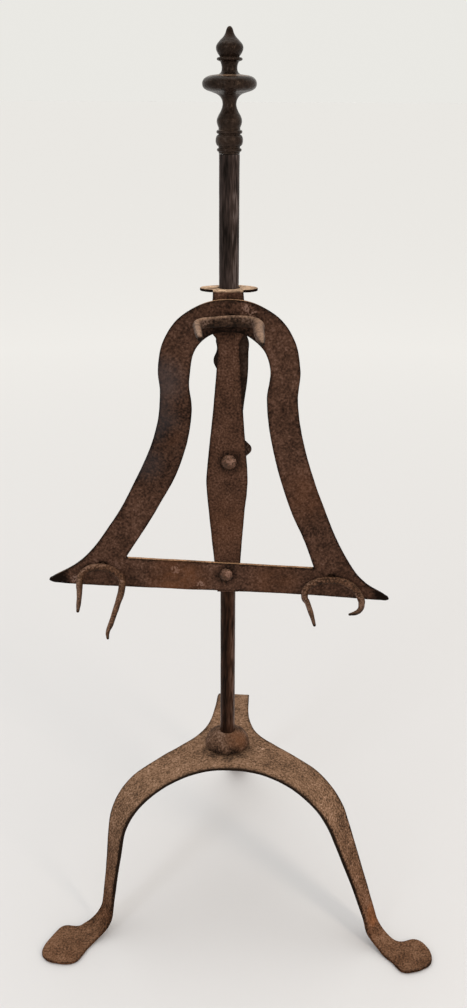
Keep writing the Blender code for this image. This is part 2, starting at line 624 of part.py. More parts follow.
def make_bell(group, cutters, material):
    loops = [[(x * MM, z * MM, kind) for x, z, kind in outline]
             for outline in (BELL_OUTER, BELL_INNER)]
    mesh = outline_mesh("bell_frame", loops, group, BELL_THICKNESS / 2.0)
    stand_up = Matrix.Rotation(math.radians(90.0), 4, "X")
    mesh.transform(stand_up)
    shape = bmesh.new()
    shape.from_mesh(mesh)
    bmesh.ops.dissolve_limit(shape, angle_limit=FLAT_ANGLE, verts=shape.verts, edges=shape.edges)
    shape.to_mesh(mesh)
    shape.free()
    item = add_object("bell_frame", mesh, group, material)
    item.location = POST_AXIS + Vector((0.0, BELL_BACK_Y - BELL_THICKNESS / 2.0, 0.0))
    ease_edges(item, BELL_EASE)
    holes = [("frame_rivet_bell_hole", FRAME_RIVET)]
    holes += [(name + "_bell_hole", fork["shank"]) for name, fork in FORKS.items()]
    for name, (x, z) in holes:
        drill(item, cutters, name, HOLE_RADIUS,
              from_axis(x, (BELL_BACK_Y - BELL_THICKNESS / 2.0) / MM, z),
              BACK, RIVET_HOLE_DEPTH)
    smooth_shading(item)


def make_spring(group, cutters, material):
    """Leaf spring: riveted flat at its foot, bowed back to bear on the post."""
    fold = FoldLine((SPRING_FRONT_Y, SPRING_FOOT_Z), 90.0,
                    [(length * MM, turn) for length, turn in SPRING_RUNS])
    loop = [(x * MM, y * MM, kind) for x, y, kind in SPRING_OUTLINE]
    mesh = outline_mesh("leaf_spring", [loop], group)
    shape = bmesh.new()
    shape.from_mesh(mesh)
    for face in shape.faces:
        if face.normal.z < 0.0:
            face.normal_flip()
    bmesh.ops.dissolve_limit(shape, angle_limit=FLAT_ANGLE, verts=shape.verts, edges=shape.edges)
    fold_along(shape, BACK, fold, 0.0, whole=True)
    shape.to_mesh(mesh)
    shape.free()
    item = add_object("leaf_spring", mesh, group, material)
    item.location = POST_AXIS
    thicken(item, SPRING_THICKNESS)
    drill(item, cutters, "spring_rivet_spring_hole", HOLE_RADIUS,
          from_axis(SPRING_RIVET[0], SPRING_FRONT_Y / MM, SPRING_RIVET[1]),
          BACK, RIVET_HOLE_DEPTH)
    smooth_shading(item)


# ---------------------------------------------------------------- rivets and forks
def make_rivet(name, place, head, front_y, back_y, group, material):
    """Domed head in front, shank through the plates, flattened tail behind."""
    head_radius, head_height = head
    grip = back_y - front_y + 2.0 * GAP
    profile = [(0.0, head_height)]
    for degrees in range(72, -1, -18):
        angle = math.radians(degrees)
        profile.append((head_radius * math.cos(angle), head_height * math.sin(angle)))
    profile += [(RIVET_SHANK_RADIUS, 0.0), (RIVET_SHANK_RADIUS, -grip), (TAIL_RADIUS, -grip),
                (TAIL_RADIUS * 0.8, -grip - TAIL_HEIGHT), (0.0, -grip - TAIL_HEIGHT)]
    item = turned_piece(name, profile, group, material, RIVET_STEPS)
    item.rotation_euler = (math.radians(90.0), 0.0, 0.0)
    item.location = from_axis(place[0], (front_y - GAP) / MM, place[1])


def rod_mesh(name, points, radius, group):
    """Tapered round rod along a smooth line, with closed ends."""
    curve = bpy.data.curves.new(name, "CURVE")
    curve.dimensions = "3D"
    curve.bevel_depth = radius
    curve.bevel_resolution = 2
    curve.use_fill_caps = True
    curve.resolution_u = 4
    spline = curve.splines.new("BEZIER")
    spline.bezier_points.add(len(points) - 1)
    for point, (x, y, z, thickness) in zip(spline.bezier_points, points):
        point.co = from_axis(x, y, z)
        point.radius = thickness
        point.handle_left_type = "AUTO"
        point.handle_right_type = "AUTO"
    item = bpy.data.objects.new(name, curve)
    group.objects.link(item)
    bpy.context.view_layer.update()
    mesh = evaluated_mesh(item)
    bpy.data.objects.remove(item, do_unlink=True)
    bpy.data.curves.remove(curve)
    shape = bmesh.new()
    shape.from_mesh(mesh)
    bmesh.ops.remove_doubles(shape, verts=shape.verts, dist=MERGE_DISTANCE)
    bmesh.ops.recalc_face_normals(shape, faces=shape.faces)
    shape.to_mesh(mesh)
    shape.free()
    return mesh


def make_fork(name, fork, group, cutters, material):
    """Bent double-pronged rod with a shank riveted through the plates."""
    item = add_object(name, rod_mesh(name, fork["points"], fork["rod_radius"], group),
                      group, material)
    x, z = fork["shank"]
    back_y = BELL_BACK_Y
    if fork["grip"] == "slider":
        back_y = SLIDER_FRONT_Y + SLIDER_THICKNESS
    front = ROD_Y * MM
    length = back_y + GAP + FORK_TAIL_HEIGHT - front
    parts = [("shank", RIVET_SHANK_RADIUS, front + length / 2.0, length),
             ("tail", TAIL_RADIUS, back_y + GAP + FORK_TAIL_HEIGHT / 2.0, FORK_TAIL_HEIGHT)]
    for part, radius, centre, depth in parts:
        label = name + "_" + part
        tool = add_object(label, cylinder_mesh(label, radius, depth, RIVET_STEPS), cutters)
        tool.location = from_axis(x, centre / MM, z)
        tool.rotation_euler = (math.radians(90.0), 0.0, 0.0)
        tool.hide_render = True
        tool.display_type = "WIRE"
        join = item.modifiers.new(part, "BOOLEAN")
        join.operation = "UNION"
        join.solver = "EXACT"
        join.object = tool
    smooth_shading(item)


# ---------------------------------------------------------------- assembly
# Material of each piece: base colour, roughness, metallic.
MATERIALS = {
    "base_iron": ((0.17, 0.115, 0.085), 0.78, 0.35),
    "boss_iron": ((0.15, 0.11, 0.085), 0.7, 0.4),
    "post_iron": ((0.035, 0.026, 0.024), 0.42, 0.7),
    "finial_iron": ((0.035, 0.026, 0.024), 0.42, 0.7),
    "slider_iron": ((0.085, 0.055, 0.045), 0.75, 0.4),
    "rack_iron": ((0.075, 0.047, 0.038), 0.75, 0.4),
    "spring_steel": ((0.05, 0.034, 0.03), 0.6, 0.55),
    "frame_rivet_iron": ((0.085, 0.055, 0.045), 0.6, 0.5),
    "spring_rivet_iron": ((0.085, 0.055, 0.045), 0.6, 0.5),
    "fork_top_iron": ((0.24, 0.165, 0.115), 0.7, 0.4),
    "fork_left_iron": ((0.24, 0.165, 0.115), 0.7, 0.4),
    "fork_right_iron": ((0.24, 0.165, 0.115), 0.7, 0.4),
}


def build():
    clear_scene()
    group = make_collection(OBJECT_NAME)
    cutters = make_collection("cutters")
    iron = {name: make_material(name, *look) for name, look in MATERIALS.items()}

    make_tripod(group, cutters, iron["base_iron"])
    make_boss(group, iron["boss_iron"])
    make_post(group, iron["post_iron"])
    make_finial(group, iron["finial_iron"])
    make_slider(group, cutters, iron["slider_iron"])
    make_bell(group, cutters, iron["rack_iron"])
    make_spring(group, cutters, iron["spring_steel"])
    make_rivet("frame_rivet", FRAME_RIVET, FRAME_RIVET_HEAD, BELL_FRONT_Y,
               SLIDER_FRONT_Y + SLIDER_THICKNESS, group, iron["frame_rivet_iron"])
    make_rivet("spring_rivet", SPRING_RIVET, SPRING_RIVET_HEAD, SLIDER_FRONT_Y,
               SPRING_FRONT_Y + SPRING_THICKNESS, group, iron["spring_rivet_iron"])
    for name, fork in FORKS.items():
        make_fork(name, fork, group, cutters, iron[name + "_iron"])


build()
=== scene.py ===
"""Detailed forged-iron pieces, materials, floor, lights and camera for a ham holder stand.

Lengths are in metres unless a table says millimetres.  Every piece is shaped about
the post's axis, with its foot on the floor, and is then moved to POST_AXIS.
"""
import math

import bpy
import numpy as np
from mathutils import Matrix, Vector, geometry, noise


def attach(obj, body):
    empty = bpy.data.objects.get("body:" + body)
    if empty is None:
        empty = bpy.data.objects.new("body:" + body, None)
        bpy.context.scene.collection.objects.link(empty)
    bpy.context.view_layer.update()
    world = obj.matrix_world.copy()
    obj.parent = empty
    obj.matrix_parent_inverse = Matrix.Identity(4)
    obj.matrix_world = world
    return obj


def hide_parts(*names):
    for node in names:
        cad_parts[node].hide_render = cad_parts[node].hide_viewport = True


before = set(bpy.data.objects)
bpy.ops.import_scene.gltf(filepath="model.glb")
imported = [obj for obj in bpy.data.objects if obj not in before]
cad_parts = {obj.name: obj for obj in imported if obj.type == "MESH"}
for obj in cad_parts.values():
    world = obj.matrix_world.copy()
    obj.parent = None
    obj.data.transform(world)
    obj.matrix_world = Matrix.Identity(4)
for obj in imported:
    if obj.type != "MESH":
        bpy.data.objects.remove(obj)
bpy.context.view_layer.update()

MM = 0.001
GAP = 0.3 * MM
POST_AXIS = Vector((-9.0 * MM, -54.0 * MM, 0.0))

# ---------------------------------------------------------------- sizes
HUB_TOP = 154.5 * MM
IRON = 3.6 * MM
LOWER_RADIUS = 6.35 * MM
UPPER_RADIUS = 7.45 * MM
STEP_Z = 440.0 * MM
STEP_SLOPE = 2.0 * MM
POST_TOP_Z = 650.5 * MM
TENON_RADIUS = 4.6 * MM
PEEN_RADIUS = 8.5 * MM
PEEN_HEIGHT = 3.0 * MM
SPIGOT_RADIUS = 4.0 * MM
SPIGOT_LENGTH = 12.0 * MM
BOSS_RADIUS = 19.8 * MM
BOSS_HEIGHT = 15.6 * MM
BOSS_FOOT = 1.5 * MM
FINIAL_TIP_Z = 732.5 * MM

LEGS = {
    "left": {"direction": 209.7, "flat": 22.0, "shoulder": (155.0, 21.0),
             "knee": (53.3, 60.7), "ankle": 24.0, "reach": 163.0, "half_widths": (16.6, 9.4)},
    "right": {"direction": 331.1, "flat": 24.0, "shoulder": (154.4, 17.6),
              "knee": (64.7, 50.9), "ankle": 25.3, "reach": 185.0, "half_widths": (17.6, 10.0)},
    "rear": {"direction": 86.5, "flat": 47.5, "shoulder": (130.0, 16.0),
             "knee": (55.0, 50.0), "ankle": 25.0, "reach": 198.0, "half_widths": (15.6, 10.0)},
}
LEG_ORDER = tuple(LEGS)
FILLET_END = 88.0 * MM
ANKLE_TOP = 56.0 * MM
PENNY_RADIUS = 22.0 * MM
FEET = {
    "left": [(-40.0, -10.2), (-24.5, -11.8), (-18.5, -12.0), (-13.5, -14.8), (-9.0, -17.8),
             (-4.0, -18.2), (1.5, -15.6), (9.4, -10.8), (17.0, -4.8), (21.2, 1.6),
             (21.0, 6.8), (18.8, 11.8), (13.6, 17.0), (1.6, 23.6), (-4.5, 22.8),
             (-9.0, 20.0), (-16.2, 15.2), (-26.5, 11.2), (-40.0, 10.6)],
    "right": [(-40.0, -12.2), (-30.4, -12.2), (-21.3, -15.6), (-11.0, -19.4), (-6.9, -22.0),
              (-1.2, -23.8), (8.0, -18.6), (14.4, -11.0), (17.0, -5.5), (17.2, -1.0),
              (14.6, 5.6), (8.6, 12.0), (1.8, 15.3), (-4.0, 14.9), (-8.4, 11.4),
              (-12.0, 7.4), (-17.0, 5.1), (-22.0, 5.3), (-28.0, 6.6), (-40.0, 8.4)],
    "rear": [(-40.0, -10.0), (-28.0, -10.2), (-21.0, -12.0), (-14.0, -16.0), (-5.0, -20.2),
             (4.0, -21.0), (12.5, -17.5), (18.6, -10.5), (21.0, 0.0), (18.6, 10.5),
             (12.5, 17.5), (4.0, 21.0), (-5.0, 20.2), (-14.0, 16.0), (-21.0, 12.0),
             (-28.0, 10.2), (-40.0, 10.0)],
}
WEBS = {("rear", "left"): 29.3 * MM, ("left", "right"): 36.0 * MM,
        ("right", "rear"): 32.6 * MM}

SLIDER_FRONT_Y = -13.0 * MM
SLIDER_THICKNESS = 2.6 * MM
SLIDER_BOTTOM_Z = 310.2 * MM
SLIDER_TOP_Z = 557.5 * MM
SLIDER_BEND = 3.6 * MM
LUG_LENGTH = 9.0 * MM
FLANGE_HALF_LENGTH = 21.7 * MM
FLANGE_HALF_DEPTH = 11.8 * MM
FLANGE_SHIFT = 0.5 * MM
BORE_CLEARANCE = 0.4 * MM
SLIDER_EDGE = [(340, 11.4, 10.4), (380, 15.3, 13.2), (402, 17.2, 15.2), (409, 17.5, 15.6),
               (416, 17.0, 15.3), (440, 14.6, 13.4), (468, 11.8, 11.3), (500, 9.2, 9.3),
               (516, 8.5, 8.5), (521, 9.4, 9.4), (526, 12.6, 12.6), (540, 12.6, 12.6)]
NECK_HALF_WIDTHS = (11.9 * MM, 11.1 * MM)
NECK_LENGTH = 5.0 * MM
# Rounded end of the lug, in millimetres: (half width, distance from its end).
LUG_END = [(4.5, 0.6), (8.0, 3.6), (8.9, 8.0)]

BELL_THICKNESS = 4.0 * MM
BELL_BACK_Y = SLIDER_FRONT_Y - GAP
BELL_FRONT_Y = BELL_BACK_Y - BELL_THICKNESS
# Outlines as (x, z) in millimetres; their lines are smooth except at the corners counted here.
BELL_OUTER = [
    (0.6, 551.5), (31.4, 542.2), (47.4, 524.8), (53.9, 501.0), (53.1, 474.0), (59.4, 438.0),
    (77.1, 385.0), (96.6, 342.8), (111.2, 322.9), (129.6, 310.4), (132.3, 307.8),
    (130.8, 306.4), (125.0, 306.4), (58.9, 311.2), (-74.6, 317.2), (-136.5, 320.8),
    (-143.3, 322.1), (-145.5, 324.1), (-142.6, 326.3), (-119.2, 340.6), (-95.2, 370.2),
    (-72.2, 411.4), (-56.1, 451.0), (-52.0, 480.0), (-53.0, 501.0), (-46.6, 524.6),
    (-30.6, 542.2),
]
BELL_INNER = [
    (0.5, 527.1), (21.3, 518.6), (30.2, 502.8), (28.9, 474.0), (33.8, 438.0), (49.4, 385.0),
    (60.0, 361.0), (69.4, 335.4), (-81.6, 343.9), (-56.8, 384.4), (-36.4, 425.0),
    (-27.6, 466.0), (-29.0, 492.0), (-20.7, 518.9),
]

BELL_INNER_CORNERS = (7, 8)

# Rivets: place across and up in millimetres, then radius and height of the head.
FRAME_RIVET = (-1.4, 329.5)
FRAME_RIVET_HEAD = (5.8 * MM, 3.3 * MM)
SPRING_RIVET = (0.6, 424.5)
SPRING_RIVET_HEAD = (6.5 * MM, 3.8 * MM)
SHANK_RADIUS = 2.6 * MM
HOLE_RADIUS = SHANK_RADIUS + GAP
TAIL_RADIUS = SHANK_RADIUS * 1.65
TAIL_HEIGHT = 1.2 * MM
FORK_TAIL_HEIGHT = 1.6 * MM

SPRING_THICKNESS = 1.1 * MM
SPRING_FRONT_Y = SLIDER_FRONT_Y + SLIDER_THICKNESS + GAP
SPRING_FOOT_Z = 409.0 * MM
SPRING_RUNS = [(36.0, 0.0), (12.0, -1.6), (34.0, 0.0), (10.0, 3.2), (25.0, 0.0)]
SPRING_OUTLINE = [
    (0.0, 0.0), (7.5, 3.5), (9.3, 15.5), (13.6, 19.0), (18.2, 25.2), (13.8, 31.8), (9.8, 35.0),
    (11.7, 59.0), (14.6, 83.0), (15.0, 100.0), (14.6, 112.0), (9.0, 119.0), (-5.0, 119.0),
    (-9.4, 112.0), (-8.8, 104.0), (-11.4, 95.0), (-8.2, 86.0), (-7.8, 59.0), (-8.0, 14.0),
    (-6.5, 3.5),
]

# Forks: centre line, tip to tip, as (x, y, z, thickness) and, where the rod is not round,
# its height over its thickness.
ROD_Y = -20.6
CORNER_Y = -21.6
FORKS = {
    "fork_top": {
        "radius": 3.0 * MM, "shank": (0.4, 536.1), "through": "both",
        "points": [(-18.8, -80.0, 536.5, 0.55, 1.0), (-20.4, -62.0, 536.3, 0.82, 1.0),
                   (-21.8, -42.0, 535.8, 0.88, 1.1), (-22.2, -28.0, 535.4, 0.9, 1.2),
                   (-18.6, -22.0, 535.2, 0.95, 1.3), (-9.0, ROD_Y, 535.8, 0.9, 1.4),
                   (0.0, ROD_Y, 536.2, 0.9, 1.45), (10.0, ROD_Y, 536.2, 0.9, 1.45),
                   (18.2, -22.0, 535.6, 1.0, 1.3), (21.4, -28.5, 535.0, 1.3, 1.0),
                   (21.6, -45.0, 534.4, 1.25, 1.0), (22.2, -65.0, 533.6, 1.0, 1.0),
                   (23.4, -80.0, 533.2, 0.4, 1.0)],
    },
    "fork_left": {
        "radius": 2.6 * MM, "shank": (-101.0, 337.0), "through": "bell",
        "points": [(-112.6, -78.8, 328.2, 0.3), (-114.0, -64.0, 327.9, 0.6),
                   (-116.3, -45.0, 327.2, 0.76), (-118.6, -27.0, 327.0, 0.95),
                   (-118.2, CORNER_Y, 330.0, 1.0), (-112.5, ROD_Y, 335.0, 1.0),
                   (-101.0, ROD_Y, 337.0, 1.0), (-90.8, ROD_Y, 333.0, 1.0),
                   (-85.2, CORNER_Y, 326.0, 1.0), (-85.0, -27.0, 322.3, 1.0),
                   (-86.2, -49.5, 319.2, 0.8), (-88.5, -75.0, 315.7, 0.64),
                   (-89.8, -87.0, 313.8, 0.45), (-89.2, -91.2, 312.0, 0.25)],
    },
    "fork_right": {
        "radius": 2.6 * MM, "shank": (84.0, 326.5), "through": "bell",
        "points": [(66.0, -80.0, 318.0, 0.3), (65.0, -62.0, 317.3, 0.6),
                   (63.3, -40.0, 316.2, 0.8), (62.0, -27.0, 315.4, 0.95),
                   (63.4, CORNER_Y, 318.6, 1.0), (71.0, ROD_Y, 324.4, 1.0),
                   (84.0, ROD_Y, 326.5, 1.0), (97.0, ROD_Y, 323.4, 1.0),
                   (105.4, CORNER_Y, 316.0, 1.0), (107.8, -26.5, 312.4, 1.0),
                   (107.2, -35.0, 312.0, 0.86), (105.0, -44.0, 312.4, 0.74),
                   (100.6, -51.6, 313.4, 0.54), (95.0, -57.0, 314.9, 0.25)],
    },
}

# painted shade: the brink line and the side walls of every plate are darkened as shade, partly the iron's
# own dark edges
BRINK_TONE = -0.45                  # darkens the line where a plate's edge starts to round over
UP = Vector((0.0, 0.0, 1.0))
BACK = Vector((0.0, 1.0, 0.0))

# Soft round marks on the pieces, (x, y, z, radius, strength) in millimetres: tone
# marks lighten (above zero) or darken (below zero); rust marks redden or turn blue-black.
TONE_MARKS = {
    "bell_plate": [(-143.0, -17.3, 323.5, 17.0, -1.5), (130.0, -17.3, 308.0, 14.0, -1.4),
                   # painted shadow of the top fork on the bell's arch: the three marks at z 526.5 to 527.5
                   (-14.0, -17.3, 527.5, 13.0, -0.6), (14.0, -17.3, 527.5, 13.0, -0.6),
                   (0.0, -17.3, 526.5, 13.0, -0.5), (-1.4, -17.3, 329.5, 10.5, -0.8),
                   (-60.0, -17.3, 426.0, 34.0, -0.25), (-46.0, -17.3, 460.0, 26.0, -0.25),
                   (13.0, -17.3, 544.5, 4.0, 1.5), (18.0, -17.3, 541.0, 4.0, 1.3),
                   (-42.0, -17.3, 334.0, 4.0, 1.8),
                   (-124.0, -17.3, 324.5, 4.0, 1.6), (-22.0, -17.3, 320.5, 3.4, 1.3)],
    # painted shade on the strip round the top fork: the marks at z 530 and 545
    "folded_slider": [(0.6, -13.0, 424.5, 11.5, -0.8), (0.0, -13.0, 545.0, 9.0, -0.5),
                      (0.0, -13.0, 530.0, 12.0, -0.4)],
    "shaped_spring": [(-14.0, -10.0, 437.0, 14.0, -0.8), (14.0, -10.0, 434.0, 10.0, 0.7)],
    "bent_fork_top": [(-22.0, -27.0, 536.5, 11.0, 1.1), (-20.0, -21.0, 537.0, 8.0, 0.5),
                      (21.5, -34.0, 536.0, 12.0, 0.9), (22.0, -62.0, 534.0, 16.0, 1.0)],
    # painted shadow round the front of the boss's foot, partly dark stains on the hub: the five dark marks
    # at z 154.5
    "forged_tripod": [(0.0, -21.5, 154.5, 7.0, -0.7), (-11.0, -18.5, 154.5, 7.0, -0.6),
                      (11.0, -18.5, 154.5, 7.0, -0.6), (-19.0, -10.0, 154.5, 7.0, -0.5),
                      (19.0, -10.0, 154.5, 7.0, -0.5), (30.0, -8.0, 154.0, 7.0, 0.35)],
    # painted highlight on the upper right of each rivet head and painted shade on its lower left
    "strip_rivet": [(2.6, -16.0, 427.2, 4.5, 1.8), (-3.0, -15.5, 422.0, 5.0, -0.5)],
    "bar_rivet": [(0.8, -20.0, 331.5, 4.0, 1.4), (-4.0, -19.5, 327.0, 4.5, -0.5)],
    # painted light on the dome's upper front and painted shade at its front foot
    "domed_boss": [(-4.0, -12.0, 162.0, 7.0, 0.25), (6.0, -19.0, 156.5, 8.0, -0.5),
                   (-8.0, -17.0, 156.5, 8.0, -0.5)],
}
RUST_MARKS = {
    "bell_plate": [(-40.0, -17.3, 324.0, 28.0, 0.5), (38.0, -17.3, 322.0, 26.0, 0.2),
                   (64.0, -17.3, 400.0, 30.0, 0.2), (-44.0, -17.3, 448.0, 10.0, 0.2),
                   (-52.0, -17.3, 490.0, 24.0, -0.6), (-54.0, -17.3, 458.0, 20.0, -0.5),
                   (-64.0, -17.3, 425.0, 18.0, -0.4)],
    "folded_slider": [(0.0, -13.0, 370.0, 30.0, 0.15)],
    "forged_tripod": [(126.0, -66.0, 22.0, 12.0, 0.65)],
    "domed_boss": [(9.0, -9.0, 166.0, 13.0, 0.5)],
    "strip_rivet": [(0.6, -16.5, 424.5, 8.0, 0.35)],
    "bar_rivet": [(-1.4, -20.0, 329.5, 8.0, 0.3)],
}

# Camera, at the height and tilt of someone standing at the table.
CAMERA_PLACE = (-4.7 * MM, -801.0 * MM, 686.0 * MM)
CAMERA_TILT = 22.0
CAMERA_ROLL = 0.0054
CAMERA_LENS = 35.714

# Room: floor colours by the stand and far off, and the brightness of the white walls.
FLOOR_NEAR = (0.630, 0.622, 0.632)
FLOOR_FAR = (0.788, 0.780, 0.780)
HORIZON_LEVEL = 0.82
ZENITH_LEVEL = 1.5
FRONT_SHARE = 0.3
WALL_COLOUR = (1.0, 0.988, 0.942)
FLOOR_HALF = 400.0
FLOOR_DROP = 0.2 * MM               # keeps the floor from touching the feet


# ---------------------------------------------------------------- lines
def smooth_line(points, kinds, closed, spacing):
    """Points about spacing apart along a Bezier line through the given points.

    Returns the points and, for each, its position counted in given points.
    """
    curve = bpy.data.curves.new("guide", "CURVE")
    curve.dimensions = "3D"
    spline = curve.splines.new("BEZIER")
    spline.bezier_points.add(len(points) - 1)
    spline.use_cyclic_u = closed
    for knot, place, kind in zip(spline.bezier_points, points, kinds):
        knot.co = place
        handle = "AUTO" if kind == "smooth" else "VECTOR"
        knot.handle_left_type = handle
        knot.handle_right_type = handle
    item = bpy.data.objects.new("guide", curve)
    bpy.context.scene.collection.objects.link(item)
    bpy.context.view_layer.update()
    knots = spline.bezier_points
    line = []
    counts = []
    spans = len(knots) if closed else len(knots) - 1
    for i in range(spans):
        first = knots[i]
        second = knots[(i + 1) % len(knots)]
        steps = max(2, round((second.co - first.co).length / spacing))
        run = geometry.interpolate_bezier(first.co, first.handle_right, second.handle_left,
                                          second.co, steps + 1)
        line += [place.copy() for place in run[:-1]]
        counts += [i + k / steps for k in range(steps)]
    if not closed:
        line.append(knots[-1].co.copy())
        counts.append(float(len(knots) - 1))
    bpy.data.objects.remove(item, do_unlink=True)
    bpy.data.curves.remove(curve)
    return line, counts


def outline_loop(outline, spacing, corners=(), scale=MM):
    """A closed flat outline, smooth except at its numbered corners, as (x, y) pairs."""
    points = [(x * scale, y * scale, 0.0) for x, y in outline]
    kinds = ["corner" if i in corners else "smooth" for i in range(len(points))]
    line, _counts = smooth_line(points, kinds, True, spacing)
    return [(place.x, place.y) for place in line]


def circle_loop(x, y, radius, steps=28):
    angles = [2.0 * math.pi * i / steps for i in range(steps)]
    return [(x + radius * math.cos(angle), y + radius * math.sin(angle)) for angle in angles]


def turned_to(loop, anticlockwise):
    area = sum(a[0] * b[1] - b[0] * a[1] for a, b in zip(loop, loop[1:] + loop[:1]))
    return loop if (area > 0.0) == anticlockwise else loop[::-1]


def inset(loop, distance):
    """Move every point of a loop to its left, into the material."""
    moved = []
    for i, (x, y) in enumerate(loop):
        before = Vector(loop[i - 1])
        after = Vector(loop[(i + 1) % len(loop)])
        here = Vector((x, y))
        arrive = (here - before).normalized()
        leave = (after - here).normalized()
        normal = Vector((-arrive.y - leave.y, arrive.x + leave.x)).normalized()
        spread = max(0.6, normal.dot(Vector((-arrive.y, arrive.x))))
        moved.append(tuple(here + normal * distance / spread))
    return moved


def is_inside(points, loops):
    x, y = points[:, 0], points[:, 1]
    inside = np.zeros(len(points), bool)
    for loop in loops:
        for (x1, y1), (x2, y2) in zip(loop, loop[1:] + loop[:1]):
            if y1 != y2:
                inside ^= ((y1 > y) != (y2 > y)) & (x < (x2 - x1) * (y - y1) / (y2 - y1) + x1)
    return inside


def edge_distance(points, loops):
    nearest = np.full(len(points), 1.0)
    for loop in loops:
        for start, end in zip(loop, loop[1:] + loop[:1]):
            start, end = np.array(start), np.array(end)
            run = end - start
            share = np.clip((points - start) @ run / (run @ run + 1e-18), 0.0, 1.0)
            gap = points - start - share[:, None] * run
            nearest = np.minimum(nearest, np.hypot(gap[:, 0], gap[:, 1]))
    return nearest


# ---------------------------------------------------------------- solids
def ring_faces(upper, lower):
    """Faces between two rings of points, either of which may be a single pole."""
    faces = []
    steps = max(len(upper), len(lower))
    for i in range(steps):
        j = (i + 1) % steps
        if len(upper) == 1:
            faces.append((upper[0], lower[i], lower[j]))
        elif len(lower) == 1:
            faces.append((upper[i], lower[0], upper[j]))
        else:
            faces.append((upper[i], lower[i], lower[j], upper[j]))
    return faces


def plate(loops, thickness, round_over, cell, rows=None):
    """A flat plate with rounded edges, as places (x, y, depth), faces and tones.

    The first loop is the outline and the others are holes.  Depth runs down from
    the upper face.  A tone below zero darkens the edge of the plate.
    """
    loops = [turned_to(loop, i == 0) for i, loop in enumerate(loops)]
    turns = 4
    rings = []
    for k in range(turns + 1):
        angle = math.pi / 2.0 * (1.0 - k / turns)
        rings.append((round_over * (1.0 - math.cos(angle)), round_over * (1.0 - math.sin(angle))))
    rings += [(back, thickness - depth) for back, depth in reversed(rings)]
    brink = [inset(loop, round_over) for loop in loops]

    border = np.array(brink[0])
    low, high = border.min(axis=0), border.max(axis=0)
    if rows is None:
        rows = np.arange(low[1], high[1], cell * 0.87)
    lattice = []
    for i, y in enumerate(rows):
        shift = 0.5 * cell * (i % 2)
        lattice += [(x, y) for x in np.arange(low[0] + shift, high[0], cell)]
    lattice = np.array(lattice)
    lattice = lattice[is_inside(lattice, brink)]
    lattice = lattice[edge_distance(lattice, brink) > 0.45 * cell]

    points = [Vector(place) for loop in brink for place in loop]
    edges = []
    begin = 0
    starts = []
    for loop in brink:
        starts.append(begin)
        count = len(loop)
        edges += [(begin + i, begin + (i + 1) % count) for i in range(count)]
        begin += count
    points += [Vector(place) for place in lattice.tolist()]
    cut = geometry.delaunay_2d_cdt(points, edges, [], 0, 1e-8)
    triangles = np.array(cut[2])
    flat = np.array([tuple(place) for place in cut[0]])
    triangles = triangles[is_inside(flat[triangles].mean(axis=1), brink)]
    index_of = {}
    for new, olds in enumerate(cut[3]):
        for old in olds:
            index_of[old] = new

    count = len(flat)
    places = [(x, y, 0.0) for x, y in flat] + [(x, y, thickness) for x, y in flat]
    tones = [0.0] * (2 * count)
    for i in range(begin):
        tones[index_of[i]] = BRINK_TONE
    faces = []
    for a, b, c in triangles.tolist():
        (ax, ay), (bx, by), (cx, cy) = flat[a], flat[b], flat[c]
        if (bx - ax) * (cy - ay) - (cx - ax) * (by - ay) < 0.0:
            b, c = c, b
        faces.append((a, b, c))
        faces.append((count + c, count + b, count + a))
    for start, loop in zip(starts, loops):
        size = len(loop)
        upper = [index_of[start + i] for i in range(size)]
        for level, (back, depth) in enumerate(rings[1:], 1):
            if level == len(rings) - 1:
                lower = [count + index_of[start + i] for i in range(size)]
            else:
                lower = list(range(len(places), len(places) + size))
                places += [(x, y, depth) for x, y in inset(loop, back)]
                # painted shade on the side walls, reaching full dark on the outer part of the edge
                tones += [-min(1.0, 1.6 * (1.0 - back / round_over))] * size
            faces += ring_faces(upper, lower)
            upper = lower
    return places, faces, tones


class Fold:
    """Side view of a bent bar: straight runs and arcs of (length, turn) end to end."""

    def __init__(self, start, heading, runs):
        self.marks = []
        place = Vector(start)
        angle = math.radians(heading)
        travelled = 0.0
        for length, turn in runs:
            self.marks.append((travelled, place.copy(), angle, length, math.radians(turn)))
            place = place + self.advance(angle, length, math.radians(turn), length)
            angle += math.radians(turn)
            travelled += length
        self.length = travelled

    @staticmethod
    def advance(angle, length, turn, distance):
        if abs(turn) < 1e-9:
            return Vector((math.cos(angle), math.sin(angle))) * distance
        radius = length / turn
        end = angle + turn * distance / length
        return Vector((math.sin(end) - math.sin(angle), math.cos(angle) - math.cos(end))) * radius

    def at(self, distance, depth):
        """Place in side view of a point at that distance along and depth below the face."""
        for travelled, place, angle, length, turn in reversed(self.marks):
            if distance >= travelled - 1e-9 or travelled == 0.0:
                local = distance - travelled
                heading = angle + turn * local / length
                normal = Vector((-math.sin(heading), math.cos(heading)))
                return place + self.advance(angle, length, turn, local) - normal * depth


def strength(places, marks):
    """Summed strength at each place of soft round marks (x, y, z, radius, strength) in mm."""
    places = np.array([tuple(place) for place in places]) / MM
    total = np.zeros(len(places))
    for x, y, z, radius, amount in marks:
        near = 1.0 - np.linalg.norm(places - (x, y, z), axis=1) / radius
        total += amount * np.clip(near * 1.6, 0.0, 1.0)
    return total


